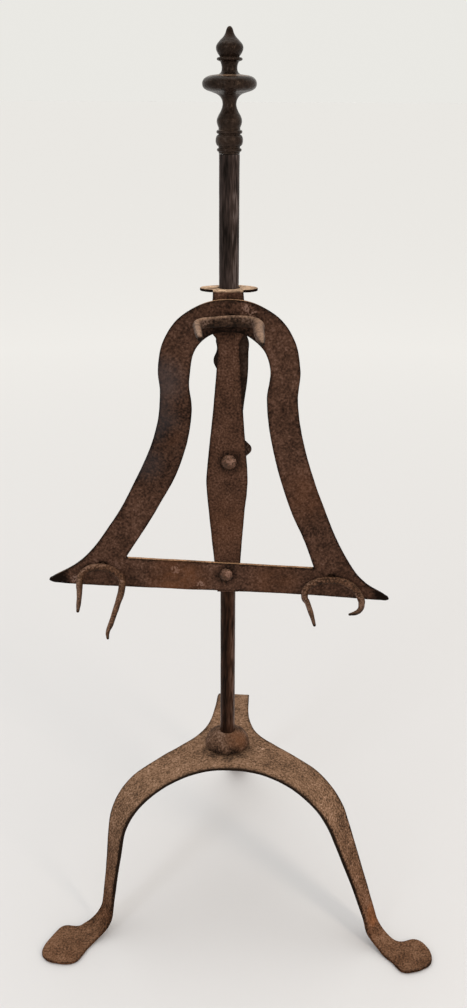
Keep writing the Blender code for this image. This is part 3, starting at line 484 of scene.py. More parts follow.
def make_piece(name, places, faces, tones, dents, sharp_angle=None):
    """A mesh object with shallow dents pressed into it; dents are (depth, size, seed).

    Tones darken or lighten the material from point to point, and so do TONE_MARKS;
    RUST_MARKS redden it (above zero) or turn it blue-black (below zero).
    """
    mesh = bpy.data.meshes.new(name)
    mesh.from_pydata([tuple(place) for place in places], [], faces)
    mesh.update()
    normals = [vertex.normal.copy() for vertex in mesh.vertices]
    for vertex, normal in zip(mesh.vertices, normals):
        place = vertex.co.copy()
        pressed = 0.0
        for depth, size, seed in dents:
            spot = place / size + Vector((seed, 2.3 * seed, -1.7 * seed))
            pressed += depth * (0.5 + 0.5 * noise.noise(spot))
        vertex.co = place - normal * pressed
    shades = {"tone": np.array(tones) + strength(places, TONE_MARKS.get(name, [])),
              "rust": strength(places, RUST_MARKS.get(name, []))}
    for label, values in shades.items():
        layer = mesh.attributes.new(label, "FLOAT", "POINT")
        layer.data.foreach_set("value", values.astype(np.float32))
    mesh.shade_smooth()
    if sharp_angle is not None:
        mesh.set_sharp_from_angle(angle=math.radians(sharp_angle))
    item = bpy.data.objects.new(name, mesh)
    bpy.context.scene.collection.objects.link(item)
    item.location = POST_AXIS
    return item


def turned(profile, steps, closed=False, wobble=None):
    """Turn (radius, height) points, top to bottom, about the axis."""
    places = []
    faces = []
    rings = []
    for radius, height in profile:
        if radius < 1e-9:
            rings.append([len(places)])
            places.append((0.0, 0.0, height))
            continue
        rings.append(list(range(len(places), len(places) + steps)))
        for i in range(steps):
            angle = 2.0 * math.pi * i / steps
            out = radius + (wobble(angle, height) if wobble else 0.0)
            places.append((out * math.cos(angle), out * math.sin(angle), height))
    pairs = list(zip(rings, rings[1:]))
    if closed:
        pairs.append((rings[-1], rings[0]))
    for upper, lower in pairs:
        faces += ring_faces(upper, lower)
    return places, faces


# ---------------------------------------------------------------- tripod
def leg_fold(leg):
    shoulder_radius, shoulder_turn = leg["shoulder"]
    knee_radius, knee_turn = leg["knee"]
    steep = shoulder_turn + knee_turn
    shoulder = (shoulder_radius * MM * math.radians(shoulder_turn), -shoulder_turn)
    knee = (knee_radius * MM * math.radians(knee_turn), -knee_turn)
    ankle_radius = leg["ankle"] * MM
    start = (leg["flat"] * MM, HUB_TOP)
    top = Fold(start, 0.0, [shoulder, knee])
    ankle_drop = ankle_radius * (1.0 - math.cos(math.radians(steep)))
    shank = (top.at(top.length, 0.0).y - ankle_drop - IRON) / math.sin(math.radians(steep))
    runs = [shoulder, knee, (shank, 0.0), (ankle_radius * math.radians(steep), steep)]
    bent = Fold(start, 0.0, runs)
    toe = leg["reach"] * MM + PENNY_RADIUS - bent.at(bent.length, 0.0).x
    return Fold(start, 0.0, runs + [(toe, 0.0)])


def plan_axes(leg):
    angle = math.radians(leg["direction"])
    out = Vector((math.cos(angle), math.sin(angle)))
    return out, Vector((-out.y, out.x))


def leg_outline(name, fold):
    leg = LEGS[name]
    hub_half, ankle_half = [half * MM for half in leg["half_widths"]]
    penny = leg["flat"] * MM + fold.length - PENNY_RADIUS
    edge = [(FILLET_END, -hub_half), (penny - ANKLE_TOP, -ankle_half)]
    edge += [(penny + along * MM, left * MM) for along, left in FEET[name]]
    edge += [(penny - ANKLE_TOP, ankle_half), (FILLET_END, hub_half)]
    out, across = plan_axes(leg)
    return [out * along + across * offset for along, offset in edge]


def web_curve(first, second, nearest, steps=6):
    out_a, across_a = plan_axes(first)
    out_b, across_b = plan_axes(second)
    start = out_a * FILLET_END + across_a * first["half_widths"][0] * MM
    end = out_b * FILLET_END - across_b * second["half_widths"][0] * MM
    bisector = (out_a + out_b).normalized()
    spread = (start.dot(bisector) - nearest) / (0.75 * out_a.dot(bisector))
    handle_a = start - out_a * spread
    handle_b = end - out_b * spread
    run = geometry.interpolate_bezier(start, handle_a, handle_b, end, steps + 1)
    return [place.to_2d() for place in run[1:-1]]


def make_tripod():
    folds = {name: leg_fold(LEGS[name]) for name in LEG_ORDER}
    outline = []
    for i, name in enumerate(LEG_ORDER):
        following = LEG_ORDER[(i + 1) % 3]
        outline += leg_outline(name, folds[name])
        outline += web_curve(LEGS[name], LEGS[following], WEBS[(name, following)])
    loop = outline_loop([tuple(place) for place in outline], 1.6 * MM, scale=1.0)
    hole = circle_loop(0.0, 0.0, TENON_RADIUS + GAP)
    places, faces, tones = plate([loop, hole], IRON, 1.0 * MM, 2.4 * MM)
    bent = []
    for x, y, depth in places:
        flat = Vector((x, y))
        here = Vector((x, y, HUB_TOP - depth))
        for name in LEG_ORDER:
            out, across = plan_axes(LEGS[name])
            along = flat.dot(out) - LEGS[name]["flat"] * MM
            if along > 0.0:
                side_view = folds[name].at(along, depth)
                plan = out * side_view.x + across * flat.dot(across)
                here = Vector((plan.x, plan.y, side_view.y))
        bent.append(here)
    # the plate's painted edge shade, weakened towards the feet and strengthened on the hub
    tones = [tone * min(1.5, max(0.35, place.z / (40.0 * MM))) for tone, place in zip(tones, bent)]
    dents = [(0.5 * MM, 26.0 * MM, 1.0), (0.25 * MM, 8.0 * MM, 2.0)]
    return make_piece("forged_tripod", bent, faces, tones, dents)


# ---------------------------------------------------------------- post and finial
def boss_wobble(angle, height):
    """Chisel marks round the foot of the boss, fading out up its dome."""
    fade = min(1.0, max(0.0, 1.0 - (height - HUB_TOP) / (9.0 * MM)))
    marks = max(0.0, math.sin(11.0 * angle + 2.0 * math.sin(3.0 * angle))) ** 3
    return -0.45 * MM * fade * marks


def make_boss():
    base = HUB_TOP + GAP
    bore = LOWER_RADIUS + 0.03 * MM
    top_angle = math.degrees(math.acos(bore / BOSS_RADIUS))
    profile = []
    steps = 24
    for i in range(steps + 1):
        angle = math.radians(top_angle * (1.0 - i / steps))
        profile.append((BOSS_RADIUS * math.cos(angle),
                        base + BOSS_FOOT + (BOSS_HEIGHT - BOSS_FOOT) * math.sin(angle)))
    profile += [(BOSS_RADIUS - 0.3 * MM, base + 0.8 * MM), (BOSS_RADIUS - 1.6 * MM, base),
                (bore, base)]
    places, faces = turned(profile, 96, True, boss_wobble)
    dents = [(0.7 * MM, 11.0 * MM, 3.0), (0.25 * MM, 4.0 * MM, 4.0)]
    return make_piece("domed_boss", places, faces, [0.0] * len(places), dents)


def post_wobble(angle, height):
    """Slight flats left by hammering the bar round."""
    return 0.07 * MM * math.cos(9.0 * angle + 0.6 * math.sin(height * 14.0)) - 0.07 * MM


def make_post():
    peen_top = HUB_TOP - IRON - GAP
    spigot_top = POST_TOP_Z + SPIGOT_LENGTH
    profile = [(0.0, spigot_top), (SPIGOT_RADIUS, spigot_top), (SPIGOT_RADIUS, POST_TOP_Z),
               (UPPER_RADIUS, POST_TOP_Z)]
    count = 60
    for i in range(1, count + 1):
        profile.append((UPPER_RADIUS, POST_TOP_Z + (STEP_Z - POST_TOP_Z) * i / count))
    lower_top = STEP_Z - STEP_SLOPE
    for i in range(count + 1):
        profile.append((LOWER_RADIUS, lower_top + (HUB_TOP + GAP - lower_top) * i / count))
    profile += [(TENON_RADIUS, HUB_TOP + GAP), (TENON_RADIUS, peen_top), (PEEN_RADIUS, peen_top),
                (PEEN_RADIUS, peen_top - PEEN_HEIGHT * 0.4),
                (PEEN_RADIUS * 0.9, peen_top - PEEN_HEIGHT * 0.75),
                (PEEN_RADIUS * 0.62, peen_top - PEEN_HEIGHT), (0.0, peen_top - PEEN_HEIGHT)]
    places, faces = turned(profile, 64, False, post_wobble)
    # painted highlight and shade on the post, set by x alone: lighter right of centre, darker left of
    # centre
    tones = [0.45 * math.sin(math.pi * (x - 1.2 * MM) / UPPER_RADIUS) for x, _y, _z in places]
    dents = [(0.12 * MM, 9.0 * MM, 5.0)]
    return make_piece("round_post", places, faces, tones, dents, 50.0)


def bead(centre, half_height, inner, outer, steps=12):
    """Rounded bead between two grooves, from top to bottom."""
    points = []
    for i in range(steps + 1):
        angle = math.pi * i / steps
        points.append((inner + (outer - inner) * math.sin(angle), centre + half_height * math.cos(angle)))
    return points


def sweep(points, spacing=0.5):
    """A smooth profile through (radius, height) points given in millimetres."""
    knots = [(radius, 0.0, height) for radius, height in points]
    line, _counts = smooth_line(knots, ["smooth"] * len(knots), False, spacing)
    return [(max(0.0, place.x), place.z) for place in line]


def finial_profile():
    """Radius and height above the tip, in millimetres, from the tip down."""
    profile = [(0.0, 0.0)]
    profile += sweep([(0.8, -0.15), (1.7, -0.9), (2.5, -2.6), (3.2, -4.6), (4.4, -6.5), (6.9, -9.0),
                      (9.2, -12.0), (9.4, -14.4), (8.2, -17.2), (6.8, -19.0)])
    profile += bead(-20.6, 1.3, 7.2, 9.0, 8)
    profile += sweep([(6.4, -22.4), (5.7, -24.4), (5.5, -26.4), (5.9, -28.4), (7.4, -30.0)])
    profile += sweep([(13.4, -30.7), (16.4, -31.9), (18.5, -34.0), (19.0, -36.2), (18.4, -38.4),
                      (16.1, -40.3), (11.8, -41.8), (8.0, -43.4), (5.9, -45.6), (5.0, -48.2),
                      (5.0, -50.2), (6.1, -53.4), (7.8, -56.4), (8.9, -59.2), (8.8, -61.6),
                      (7.7, -64.6)])
    profile += bead(-67.2, 1.4, 7.8, 9.3, 8)
    profile += bead(-72.8, 3.9, 7.8, 9.8, 12)
    profile += bead(-79.1, 1.3, 7.6, 8.8, 8)
    return profile


def make_finial():
    bottom = POST_TOP_Z + GAP
    bore = SPIGOT_RADIUS + GAP
    bore_top = POST_TOP_Z + SPIGOT_LENGTH + GAP
    profile = [(radius * MM, FINIAL_TIP_Z + height * MM) for radius, height in finial_profile()]
    profile += [(UPPER_RADIUS, bottom), (bore, bottom), (bore, bore_top), (0.0, bore_top)]
    places, faces = turned(profile, 96)
    dents = [(0.22 * MM, 6.0 * MM, 6.0)]
    return make_piece("turned_finial", places, faces, [0.0] * len(places), dents, 50.0)


# ---------------------------------------------------------------- rack plates
def slider_fold():
    bend = SLIDER_BEND * math.pi / 2.0
    lug = LUG_LENGTH - SLIDER_FRONT_Y - SLIDER_BEND
    strip = SLIDER_TOP_Z - SLIDER_BOTTOM_Z - 2.0 * SLIDER_BEND
    flange = FLANGE_HALF_DEPTH - FLANGE_SHIFT - SLIDER_FRONT_Y - SLIDER_BEND
    return Fold((LUG_LENGTH, SLIDER_BOTTOM_Z), 180.0,
                [(lug, 0.0), (bend, -90.0), (strip, 0.0), (bend, -90.0), (flange, 0.0)])


def slider_half(fold, side):
    """One edge of the slider laid flat, from the lug's end to the flange's (side 0 is left).

    Also returns which of its points is the corner where the neck meets the flange, and
    how far the flat blank's distances lie above heights from the floor.
    """
    lug_end = LUG_LENGTH - SLIDER_FRONT_Y - SLIDER_BEND
    strip_start = lug_end + SLIDER_BEND * math.pi / 2.0
    to_blank = strip_start - SLIDER_BOTTOM_Z - SLIDER_BEND
    half = [(x * MM, y * MM) for x, y in LUG_END]
    half.append((LUG_END[-1][0] * MM, strip_start))
    half += [(station[1 + side] * MM, station[0] * MM + to_blank) for station in SLIDER_EDGE]
    centre = fold.length - FLANGE_HALF_DEPTH
    flange_start = centre + FLANGE_SHIFT + SLIDER_FRONT_Y + SLIDER_BEND
    half.append((NECK_HALF_WIDTHS[side], flange_start - NECK_LENGTH))
    corner = len(half)
    half.append((NECK_HALF_WIDTHS[side], flange_start - 0.2 * MM))
    for degrees in range(-48, 80, 16):
        angle = math.radians(degrees)
        half.append((FLANGE_HALF_LENGTH * math.cos(angle), centre + FLANGE_HALF_DEPTH * math.sin(angle)))
    return half, corner, to_blank


def bent_strip(places, fold):
    """Fold a flat strip: its y runs along the fold, which lies in the YZ plane."""
    bent = []
    for x, y, depth in places:
        side_view = fold.at(y, depth)
        bent.append((x, side_view.x, side_view.y))
    return bent


def make_slider():
    fold = slider_fold()
    right, corner, to_blank = slider_half(fold, 1)
    left = [(-x, y) for x, y in reversed(slider_half(fold, 0)[0])]
    outline = [(0.0, 0.0)] + right + [(0.0, fold.length)] + left
    corners = (1 + corner, len(outline) - 1 - corner)
    loops = [outline_loop(outline, 1.2 * MM, corners, 1.0)]
    loops.append(circle_loop(0.0, fold.length - FLANGE_HALF_DEPTH + FLANGE_SHIFT,
                             UPPER_RADIUS + BORE_CLEARANCE, 40))
    loops.append(circle_loop(0.0, LUG_LENGTH, LOWER_RADIUS + BORE_CLEARANCE, 36))
    for x, z in (FRAME_RIVET, SPRING_RIVET, FORKS["fork_top"]["shank"]):
        loops.append(circle_loop(x * MM, z * MM + to_blank, HOLE_RADIUS))
    bends = [(mark[0], mark[0] + mark[3]) for mark in fold.marks if mark[4] != 0.0]
    rows = [0.5 * MM]
    while rows[-1] < fold.length - 1.0 * MM:
        in_bend = any(low - 1.0 * MM < rows[-1] < high for low, high in bends)
        rows.append(rows[-1] + (0.7 * MM if in_bend else 1.7 * MM))
    places, faces, tones = plate(loops, SLIDER_THICKNESS, 0.7 * MM, 1.9 * MM, rows)
    dents = [(0.3 * MM, 14.0 * MM, 7.0), (0.15 * MM, 5.0 * MM, 8.0)]
    return make_piece("folded_slider", bent_strip(places, fold), faces, tones, dents)


def make_bell():
    loops = [outline_loop(BELL_OUTER, 1.5 * MM),
             outline_loop(BELL_INNER, 1.5 * MM, BELL_INNER_CORNERS)]
    holes = [FRAME_RIVET] + [fork["shank"] for fork in FORKS.values()]
    loops += [circle_loop(x * MM, z * MM, HOLE_RADIUS) for x, z in holes]
    places, faces, tones = plate(loops, BELL_THICKNESS, 0.9 * MM, 2.2 * MM)
    upright = [(x, BELL_FRONT_Y + depth, y) for x, y, depth in places]
    dents = [(0.4 * MM, 22.0 * MM, 9.0), (0.2 * MM, 6.0 * MM, 10.0)]
    return make_piece("bell_plate", upright, faces, tones, dents)


def make_spring():
    fold = Fold((SPRING_FRONT_Y, SPRING_FOOT_Z), 90.0,
                [(length * MM, turn) for length, turn in SPRING_RUNS])
    loops = [outline_loop(SPRING_OUTLINE, 1.0 * MM)]
    loops.append(circle_loop(SPRING_RIVET[0] * MM, SPRING_RIVET[1] * MM - SPRING_FOOT_Z, HOLE_RADIUS))
    places, faces, tones = plate(loops, SPRING_THICKNESS, 0.4 * MM, 1.8 * MM)
    dents = [(0.12 * MM, 8.0 * MM, 11.0)]
    return make_piece("shaped_spring", bent_strip(places, fold), faces, tones, dents)


# ---------------------------------------------------------------- rivets and forks
def stud_profile(head_radius, head_height, grip, tail_radius, tail_height):
    """Domed head, shank and domed tail, along the axis, from the head's crown down."""
    profile = [(0.0, head_height)]
    steps = 12
    for i in range(1, steps + 1):
        angle = math.pi / 2.0 * (1.0 - i / steps)
        profile.append((head_radius * math.cos(angle), head_height * math.sin(angle)))
    profile += [(SHANK_RADIUS, 0.0), (SHANK_RADIUS, -grip), (tail_radius, -grip)]
    for i in range(1, steps):
        angle = math.pi / 2.0 * i / steps
        profile.append((tail_radius * math.cos(angle), -grip - tail_height * math.sin(angle)))
    profile.append((0.0, -grip - tail_height))
    return profile


def facing_front(places, x, y, z):
    """Stand a turned shape with its head towards the front at a place in millimetres."""
    return [(px + x * MM, y - pz, py + z * MM) for px, py, pz in places]


def make_rivet(name, place, head, front_y, back_y, seed):
    grip = back_y - front_y + 2.0 * GAP
    profile = stud_profile(*head, grip, TAIL_RADIUS, TAIL_HEIGHT)
    places, faces = turned(profile, 48)
    places = facing_front(places, place[0], front_y - GAP, place[1])
    dents = [(0.8 * MM, 5.0 * MM, seed)]
    return make_piece(name, places, faces, [0.0] * len(places), dents, 50.0)


def rod(points, radius, sides=24):
    """A bent rod with pointed ends; each point is (x, y, z, thickness, flatness).

    Also returns how far along the given points each place is, and a tone of painted
    light that rises towards the rod's upper left and sinks to painted shade at its lower right.
    """
    centres, counts = smooth_line([Vector(point[:3]) * MM for point in points],
                                  ["smooth"] * len(points), False, 1.1 * MM)
    spans = range(len(points))
    thickness = np.interp(counts, spans, [point[3] for point in points])
    flatness = np.interp(counts, spans, [point[4] if len(point) > 4 else 1.0 for point in points])
    places = []
    rings = []
    painted_light = []
    # painted light: places towards this direction, the rod's upper left, are painted lighter and the
    # opposite side darker
    lit_direction = Vector((-0.45, 0.0, 0.35))
    last = len(centres) - 1
    for i, centre in enumerate(centres):
        along = (centres[min(i + 1, last)] - centres[max(i - 1, 0)]).normalized()
        side = along.cross(UP).normalized()
        if side.length < 0.5:
            side = along.cross(BACK).normalized()
        high = side.cross(along)
        size = radius * thickness[i]
        rings.append(list(range(len(places), len(places) + sides)))
        for k in range(sides):
            angle = 2.0 * math.pi * k / sides
            across = side * math.cos(angle) * size
            rise = high * math.sin(angle) * size * flatness[i]
            places.append(centre + across + rise)
            painted_light.append((across + rise).dot(lit_direction) / size)
    faces = []
    for first, second in zip(rings, rings[1:]):
        for i in range(sides):
            j = (i + 1) % sides
            faces.append((first[i], first[j], second[j], second[i]))
    for ring, centre, before, flip in ((rings[0], centres[0], centres[1], False),
                                       (rings[-1], centres[-1], centres[-2], True)):
        pole = len(places)
        places.append(centre + (centre - before).normalized() * radius * 0.3)
        for i in range(sides):
            j = (i + 1) % sides
            face = (pole, ring[j], ring[i])
            faces.append(face[::-1] if flip else face)
    tips = [counts[i] for i in range(len(centres)) for _k in range(sides)]
    tips += [0.0, float(len(points) - 1)]
    return places, faces, tips, painted_light + [0.0, 0.0]


def make_fork(name, fork, seed):
    places, faces, tips, painted_light = rod(fork["points"], fork["radius"])
    end = len(fork["points"]) - 1
    tones = []
    # painted light and shade from rod(), with the last stretch to each tip darkened
    for count, painted_light_here in zip(tips, painted_light):
        reach = min(count, end - count)
        tones.append(painted_light_here - 0.9 * max(0.0, 1.0 - reach / 1.2))
    back_y = BELL_BACK_Y if fork["through"] == "bell" else SLIDER_FRONT_Y + SLIDER_THICKNESS
    front = ROD_Y * MM
    grip = back_y + GAP - front
    profile = stud_profile(SHANK_RADIUS, 0.2 * MM, grip, TAIL_RADIUS, FORK_TAIL_HEIGHT)
    shank, shank_faces = turned(profile, 32)
    x, z = fork["shank"]
    offset = len(places)
    places = [tuple(place) for place in places] + facing_front(shank, x, front, z)
    faces += [tuple(offset + i for i in face) for face in shank_faces]
    tones += [0.0] * len(shank)
    dents = [(0.5 * MM, 11.0 * MM, seed), (0.1 * MM, 5.0 * MM, seed + 0.5)]
    return make_piece("bent_" + name, places, faces, tones, dents)


# ---------------------------------------------------------------- materials
class Paint:
    """Small helper that adds and joins shader nodes in one material or world."""

    def __init__(self, owner, shader="Principled BSDF"):
        owner.use_nodes = True
        self.tree = owner.node_tree
        self.shader = self.tree.nodes[shader]
        self.coords = self.tree.nodes.new("ShaderNodeTexCoord")

    def plug(self, socket, value):
        if isinstance(value, bpy.types.NodeSocket):
            self.tree.links.new(value, socket)
        elif hasattr(value, "__len__") and len(value) == 3 and socket.type == "RGBA":
            socket.default_value = (*value, 1.0)
        else:
            socket.default_value = value

    def stretched(self, scale):
        node = self.tree.nodes.new("ShaderNodeMapping")
        node.inputs["Scale"].default_value = scale
        self.plug(node.inputs["Vector"], self.coords.outputs["Object"])
        return node.outputs["Vector"]

    def noise(self, scale, detail=3.0, roughness=0.6, vector=None):
        node = self.tree.nodes.new("ShaderNodeTexNoise")
        node.inputs["Scale"].default_value = scale
        node.inputs["Detail"].default_value = detail
        node.inputs["Roughness"].default_value = roughness
        self.plug(node.inputs["Vector"], vector or self.coords.outputs["Object"])
        return node.outputs["Fac"]

    def pits(self, scale):
        node = self.tree.nodes.new("ShaderNodeTexVoronoi")
        node.inputs["Scale"].default_value = scale
        self.plug(node.inputs["Vector"], self.coords.outputs["Object"])
        return node.outputs["Distance"]

    def span(self, value, low, high, start=0.0, stop=1.0):
        """Map low..high of a value onto start..stop, clamped."""
        node = self.tree.nodes.new("ShaderNodeMapRange")
        node.clamp = True
        node.inputs["From Min"].default_value = low
        node.inputs["From Max"].default_value = high
        node.inputs["To Min"].default_value = start
        node.inputs["To Max"].default_value = stop
        self.plug(node.inputs["Value"], value)
        return node.outputs["Result"]

    def math(self, operation, first, second):
        node = self.tree.nodes.new("ShaderNodeMath")
        node.operation = operation
        self.plug(node.inputs[0], first)
        self.plug(node.inputs[1], second)
        return node.outputs["Value"]

    def times(self, first, second):
        return self.math("MULTIPLY", first, second)

    def mix(self, share, first, second):
        node = self.tree.nodes.new("ShaderNodeMix")
        node.data_type = "RGBA"
        self.plug(node.inputs[0], share)
        self.plug(node.inputs[6], first)
        self.plug(node.inputs[7], second)
        return node.outputs[2]

    def layer(self, name):
        node = self.tree.nodes.new("ShaderNodeAttribute")
        node.attribute_name = name
        return node.outputs["Fac"]

    def axis(self, output, axis):
        node = self.tree.nodes.new("ShaderNodeSeparateXYZ")
        self.plug(node.inputs["Vector"], self.coords.outputs[output])
        return node.outputs[axis]

    def weighted(self, parts):
        """One half plus the sum of each (value, weight) part's departure from one half."""
        total = 0.5
        for value, weight in parts:
            centred = self.math("SUBTRACT", value, 0.5)
            total = self.math("ADD", total, self.times(centred, weight))
        return total

    def ramp(self, value, stops):
        node = self.tree.nodes.new("ShaderNodeValToRGB")
        elements = node.color_ramp.elements
        while len(elements) < len(stops):
            elements.new(0.5)
        for element, (position, colour) in zip(elements, stops):
            element.position = position
            element.color = (*colour, 1.0)
        self.plug(node.inputs["Fac"], value)
        return node.outputs["Color"]

    def bump(self, height, strength, distance):
        node = self.tree.nodes.new("ShaderNodeBump")
        node.inputs["Strength"].default_value = strength
        node.inputs["Distance"].default_value = distance
        self.plug(node.inputs["Height"], height)
        self.plug(self.shader.inputs["Normal"], node.outputs["Normal"])


def toned(tint, factor, grey=0.0):
    """A tint made lighter or darker, and partly greyed."""
    level = sum(tint) / 3.0
    return tuple(factor * (channel + (level - channel) * grey) for channel in tint)


def iron_material(name, tint, dust_and_top_light=(0.24, 0.15, 0.10), dust_and_light_share=0.7, roughness=0.72, metallic=0.3,
                  specular=0.2, grain=1.0, patch=1.0, stretch=None, low_tint=None,
                  heights=(0.0, 1.0), dust_and_light_range=(0.5, 0.92)):
    """Old forged iron: patches, mottling, grain and pits from dark to worn, painted light and
    shade from the tone layer, rust, and dust with painted top light.

    The tint below heights[0] is low_tint, and it changes to tint up to heights[1].
    Dust, with a painted highlight on upward faces, lies where the upward share of the
    surface's normal passes through the range given last.
    """
    material = bpy.data.materials.new(name)
    paint = Paint(material)
    vector = paint.stretched(stretch) if stretch else None
    patches = paint.noise(24.0, 2.0)
    mottling = paint.noise(95.0, 3.0, 0.6, vector)
    fine = paint.noise(620.0, 1.5, 0.6, vector)
    hollow = paint.pits(480.0)

    wear_and_painted_light = paint.weighted([(patches, 0.7 * patch), (mottling, 0.7 * patch), (fine, 1.1 * grain)])
    # The tone layer carries painted shade on plate edges, painted shadows under parts and painted
    # highlights on the post, rivets and forks, besides pale specks and dark marks; its light part is
    # broken into flecks.
    tone = paint.layer("tone")
    pale_flecks_and_highlights = paint.times(paint.math("MAXIMUM", tone, 0.0), paint.span(fine, 0.42, 0.58, 0.1, 1.3))
    tone = paint.math("ADD", paint.math("MINIMUM", tone, 0.0), pale_flecks_and_highlights)
    wear_and_painted_light = paint.math("ADD", wear_and_painted_light, paint.times(tone, 0.55))
    stops = ((0.0, 0.10, 0.2), (0.2, 0.36, 0.1), (0.4, 0.72, 0.0), (0.6, 1.24, 0.0), (0.8, 2.0, 0.15),
             (1.0, 3.4, 0.3))
    colour = paint.ramp(wear_and_painted_light, [(at, toned(tint, factor, grey)) for at, factor, grey in stops])
    if low_tint:
        low = paint.ramp(wear_and_painted_light, [(at, toned(low_tint, factor, grey)) for at, factor, grey in stops])
        height = paint.span(paint.axis("Object", "Z"), heights[0], heights[1])
        colour = paint.mix(height, low, colour)
    colour = paint.mix(paint.span(hollow, 0.20, 0.05, 0.0, 0.45 * grain), colour, toned(tint, 0.25))
    level = sum(tint) / 3.0
    rust = paint.layer("rust")
    rusty = paint.times(paint.math("MAXIMUM", rust, 0.0), paint.span(mottling, 0.35, 0.6, 0.35, 1.0))
    colour = paint.mix(rusty, colour, (3.2 * level, 1.15 * level, 0.42 * level))
    bluish = paint.times(paint.math("MINIMUM", rust, 0.0), -1.0)
    colour = paint.mix(bluish, colour, (0.85 * level, 0.78 * level, 0.85 * level))
    # Dust and painted top light: faces turned upwards take the dust colour, which also stands for the
    # light falling on them from above.
    upward = paint.span(paint.axis("Normal", "Z"), *dust_and_light_range)
    dust_and_light_mask = paint.times(upward, paint.span(mottling, 0.3, 0.6, 0.35, 1.0))
    dust_and_light_mask = paint.times(dust_and_light_mask, paint.span(fine, 0.36, 0.56, 0.45, 1.0))
    colour = paint.mix(paint.times(dust_and_light_mask, dust_and_light_share), colour, dust_and_top_light)
    paint.plug(paint.shader.inputs["Base Color"], colour)
    rough = paint.span(mottling, 0.35, 0.65, roughness + 0.08, roughness - 0.1)
    paint.plug(paint.shader.inputs["Roughness"], rough)
    paint.shader.inputs["Metallic"].default_value = metallic
    paint.shader.inputs["Specular IOR Level"].default_value = specular
    paint.shader.inputs["Specular Tint"].default_value = (1.0, 0.74, 0.58, 1.0)
    height = paint.weighted([(mottling, 0.6), (fine, 0.8)])
    height = paint.math("ADD", height, paint.span(hollow, 0.22, 0.0, 0.0, -0.2))
    paint.bump(height, 0.6, 0.7 * MM)
    return material


def dress(item, node, body, material):
    item.data.materials.append(material)
    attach(item, body)
    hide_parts(node)


def make_materials():
    bar = {"roughness": 0.6, "metallic": 0.1, "specular": 0.12}
    # The dust colours also paint top light: on the slider, bell, top fork and finial they make a bright
    # painted highlight along upward faces.
    return {
        "base": iron_material("base_forged", (0.170, 0.096, 0.0575), (0.20, 0.118, 0.073), 0.4, 0.85,
                              0.0, 0.03, 1.4, 0.75, None, (0.108, 0.0495, 0.0260), (0.02, 0.13)),
        "boss": iron_material("boss_forged", (0.085, 0.046, 0.029), (0.13, 0.078, 0.052), 0.2, 0.75,
                              0.0, 0.06, 1.3),
        "post": iron_material("post_forged", (0.031, 0.0215, 0.0190), roughness=0.34, metallic=0.0,
                              specular=0.05, grain=1.2, patch=0.9, stretch=(1.0, 1.0, 0.12),
                              low_tint=(0.030, 0.0135, 0.0080), heights=(0.432, 0.442)),
        "finial": iron_material("finial_turned", (0.0165, 0.0102, 0.0075), (0.34, 0.22, 0.145), 0.85, 0.25,
                                0.0, 0.12, 1.0, dust_and_light_range=(0.90, 0.985)),
        "slider": iron_material("slider_forged", (0.062, 0.0300, 0.0190), (0.66, 0.45, 0.30), 1.0, 0.8,
                                0.0, 0.05, 1.1, 0.7),
        "bell": iron_material("bell_forged", (0.063, 0.0315, 0.0207), (0.46, 0.26, 0.145), 1.0, 0.8,
                              0.0, 0.05, 1.05, 0.62, dust_and_light_range=(0.86, 0.97)),
        "spring": iron_material("spring_strip", (0.022, 0.0125, 0.0090), (0.06, 0.035, 0.022), 0.3, 0.7,
                                0.0, 0.08),
        "fork_top": iron_material("fork_top_forged", (0.040, 0.0215, 0.0140), (0.34, 0.21, 0.14), 0.9,
                                  grain=1.5, **bar),
        "fork": iron_material("fork_forged", (0.066, 0.0315, 0.0175), (0.14, 0.075, 0.043), 0.45,
                              grain=1.6, **bar),
        "rivet": iron_material("rivet_forged", (0.062, 0.0285, 0.0180), (0.16, 0.09, 0.057), 0.4, 0.36,
                               0.1, 0.45, 1.9),
    }


def make_stand():
    iron = make_materials()
    slider_back = SLIDER_FRONT_Y + SLIDER_THICKNESS
    spring_back = SPRING_FRONT_Y + SPRING_THICKNESS
    dress(make_tripod(), "tripod_base", "base", iron["base"])
    dress(make_boss(), "post_boss", "base", iron["boss"])
    dress(make_post(), "post", "post", iron["post"])
    dress(make_finial(), "finial", "post", iron["finial"])
    dress(make_slider(), "slider_plate", "rack", iron["slider"])
    dress(make_bell(), "bell_frame", "rack", iron["bell"])
    dress(make_spring(), "leaf_spring", "rack", iron["spring"])
    dress(make_rivet("bar_rivet", FRAME_RIVET, FRAME_RIVET_HEAD, BELL_FRONT_Y, slider_back, 12.0),
          "frame_rivet", "rack", iron["rivet"])
    dress(make_rivet("strip_rivet", SPRING_RIVET, SPRING_RIVET_HEAD, SLIDER_FRONT_Y, spring_back, 13.0),
          "spring_rivet", "rack", iron["rivet"])
    for i, (name, parts) in enumerate(FORKS.items()):
        metal = iron["fork_top"] if name == "fork_top" else iron["fork"]
        dress(make_fork(name, parts, 14.0 + i), name, "rack", metal)


# ---------------------------------------------------------------- studio
def make_floor():
    """A pale sweep of floor, a little darker where the stand is."""
    mesh = bpy.data.meshes.new("floor")
    signs = ((-1, -1), (1, -1), (1, 1), (-1, 1))
    corners = [(x * FLOOR_HALF, y * FLOOR_HALF, 0.0) for x, y in signs]
    mesh.from_pydata(corners, [], [(0, 1, 2, 3)])
    floor = bpy.data.objects.new("floor", mesh)
    bpy.context.scene.collection.objects.link(floor)
    floor.location.z = -FLOOR_DROP
    material = bpy.data.materials.new("pale_floor")
    paint = Paint(material)
    node = paint.tree.nodes.new("ShaderNodeVectorMath")
    node.operation = "LENGTH"
    paint.plug(node.inputs[0], paint.coords.outputs["Object"])
    away = paint.span(node.outputs["Value"], 0.25, 2.2)
    paint.plug(paint.shader.inputs["Base Color"], paint.mix(away, FLOOR_NEAR, FLOOR_FAR))
    paint.shader.inputs["Roughness"].default_value = 0.9
    paint.shader.inputs["Specular IOR Level"].default_value = 0.0
    mesh.materials.append(material)


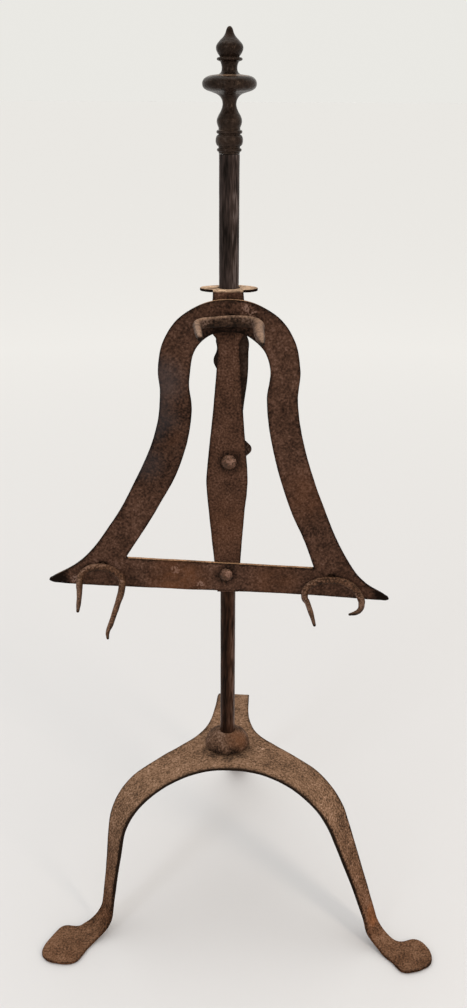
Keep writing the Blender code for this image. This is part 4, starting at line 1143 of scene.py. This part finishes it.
def make_world():
    """A soft white room: brighter overhead, and dimmer high up at the front."""
    world = bpy.data.worlds.new("studio")
    paint = Paint(world, "Background")
    height = paint.axis("Generated", "Z")
    level = paint.span(height, 0.12, 1.0, HORIZON_LEVEL, ZENITH_LEVEL)
    high_up = paint.span(height, 0.15, 0.45, 0.0, 1.0 - FRONT_SHARE)
    in_front = paint.span(paint.axis("Generated", "Y"), -0.9, 0.1, 1.0, 0.0)
    share = paint.math("SUBTRACT", 1.0, paint.times(high_up, in_front))
    paint.plug(paint.shader.inputs["Strength"], paint.times(level, share))
    paint.shader.inputs["Color"].default_value = (*WALL_COLOUR, 1.0)
    bpy.context.scene.world = world


def add_lamp(name, place, target, size, power, colour):
    """A rectangular soft box; size is its width and height."""
    data = bpy.data.lights.new(name, "AREA")
    data.shape = "RECTANGLE"
    data.size, data.size_y = size
    data.energy = power
    data.color = colour
    lamp = bpy.data.objects.new(name, data)
    bpy.context.scene.collection.objects.link(lamp)
    lamp.location = place
    lamp.rotation_mode = "QUATERNION"
    lamp.rotation_quaternion = (Vector(target) - Vector(place)).to_track_quat("-Z", "Y")


def make_studio():
    make_floor()
    make_world()
    add_lamp("overhead", (-0.2, 0.1, 2.2), (0.0, 0.0, 0.3), (1.4, 1.4), 6.0, (1.0, 0.99, 0.97))
    add_lamp("warm_strip", (1.0, -1.3, 1.0), (0.0, -0.05, 0.45), (0.25, 1.2), 9.0, (1.0, 0.86, 0.72))
    add_lamp("cool_strip", (-0.9, -1.4, 1.0), (0.0, -0.05, 0.45), (0.25, 1.2), 5.0, (0.86, 0.93, 1.0))
    bpy.context.scene.view_settings.view_transform = "Standard"


def make_camera():
    data = bpy.data.cameras.new("camera")
    data.lens = CAMERA_LENS
    camera = bpy.data.objects.new("camera", data)
    bpy.context.scene.collection.objects.link(camera)
    tilt = Matrix.Rotation(math.radians(90.0 - CAMERA_TILT), 4, "X")
    roll = Matrix.Rotation(CAMERA_ROLL, 4, "Z")
    camera.matrix_world = Matrix.Translation(CAMERA_PLACE) @ tilt @ roll
    bpy.context.scene.camera = camera


make_stand()
make_studio()
make_camera()
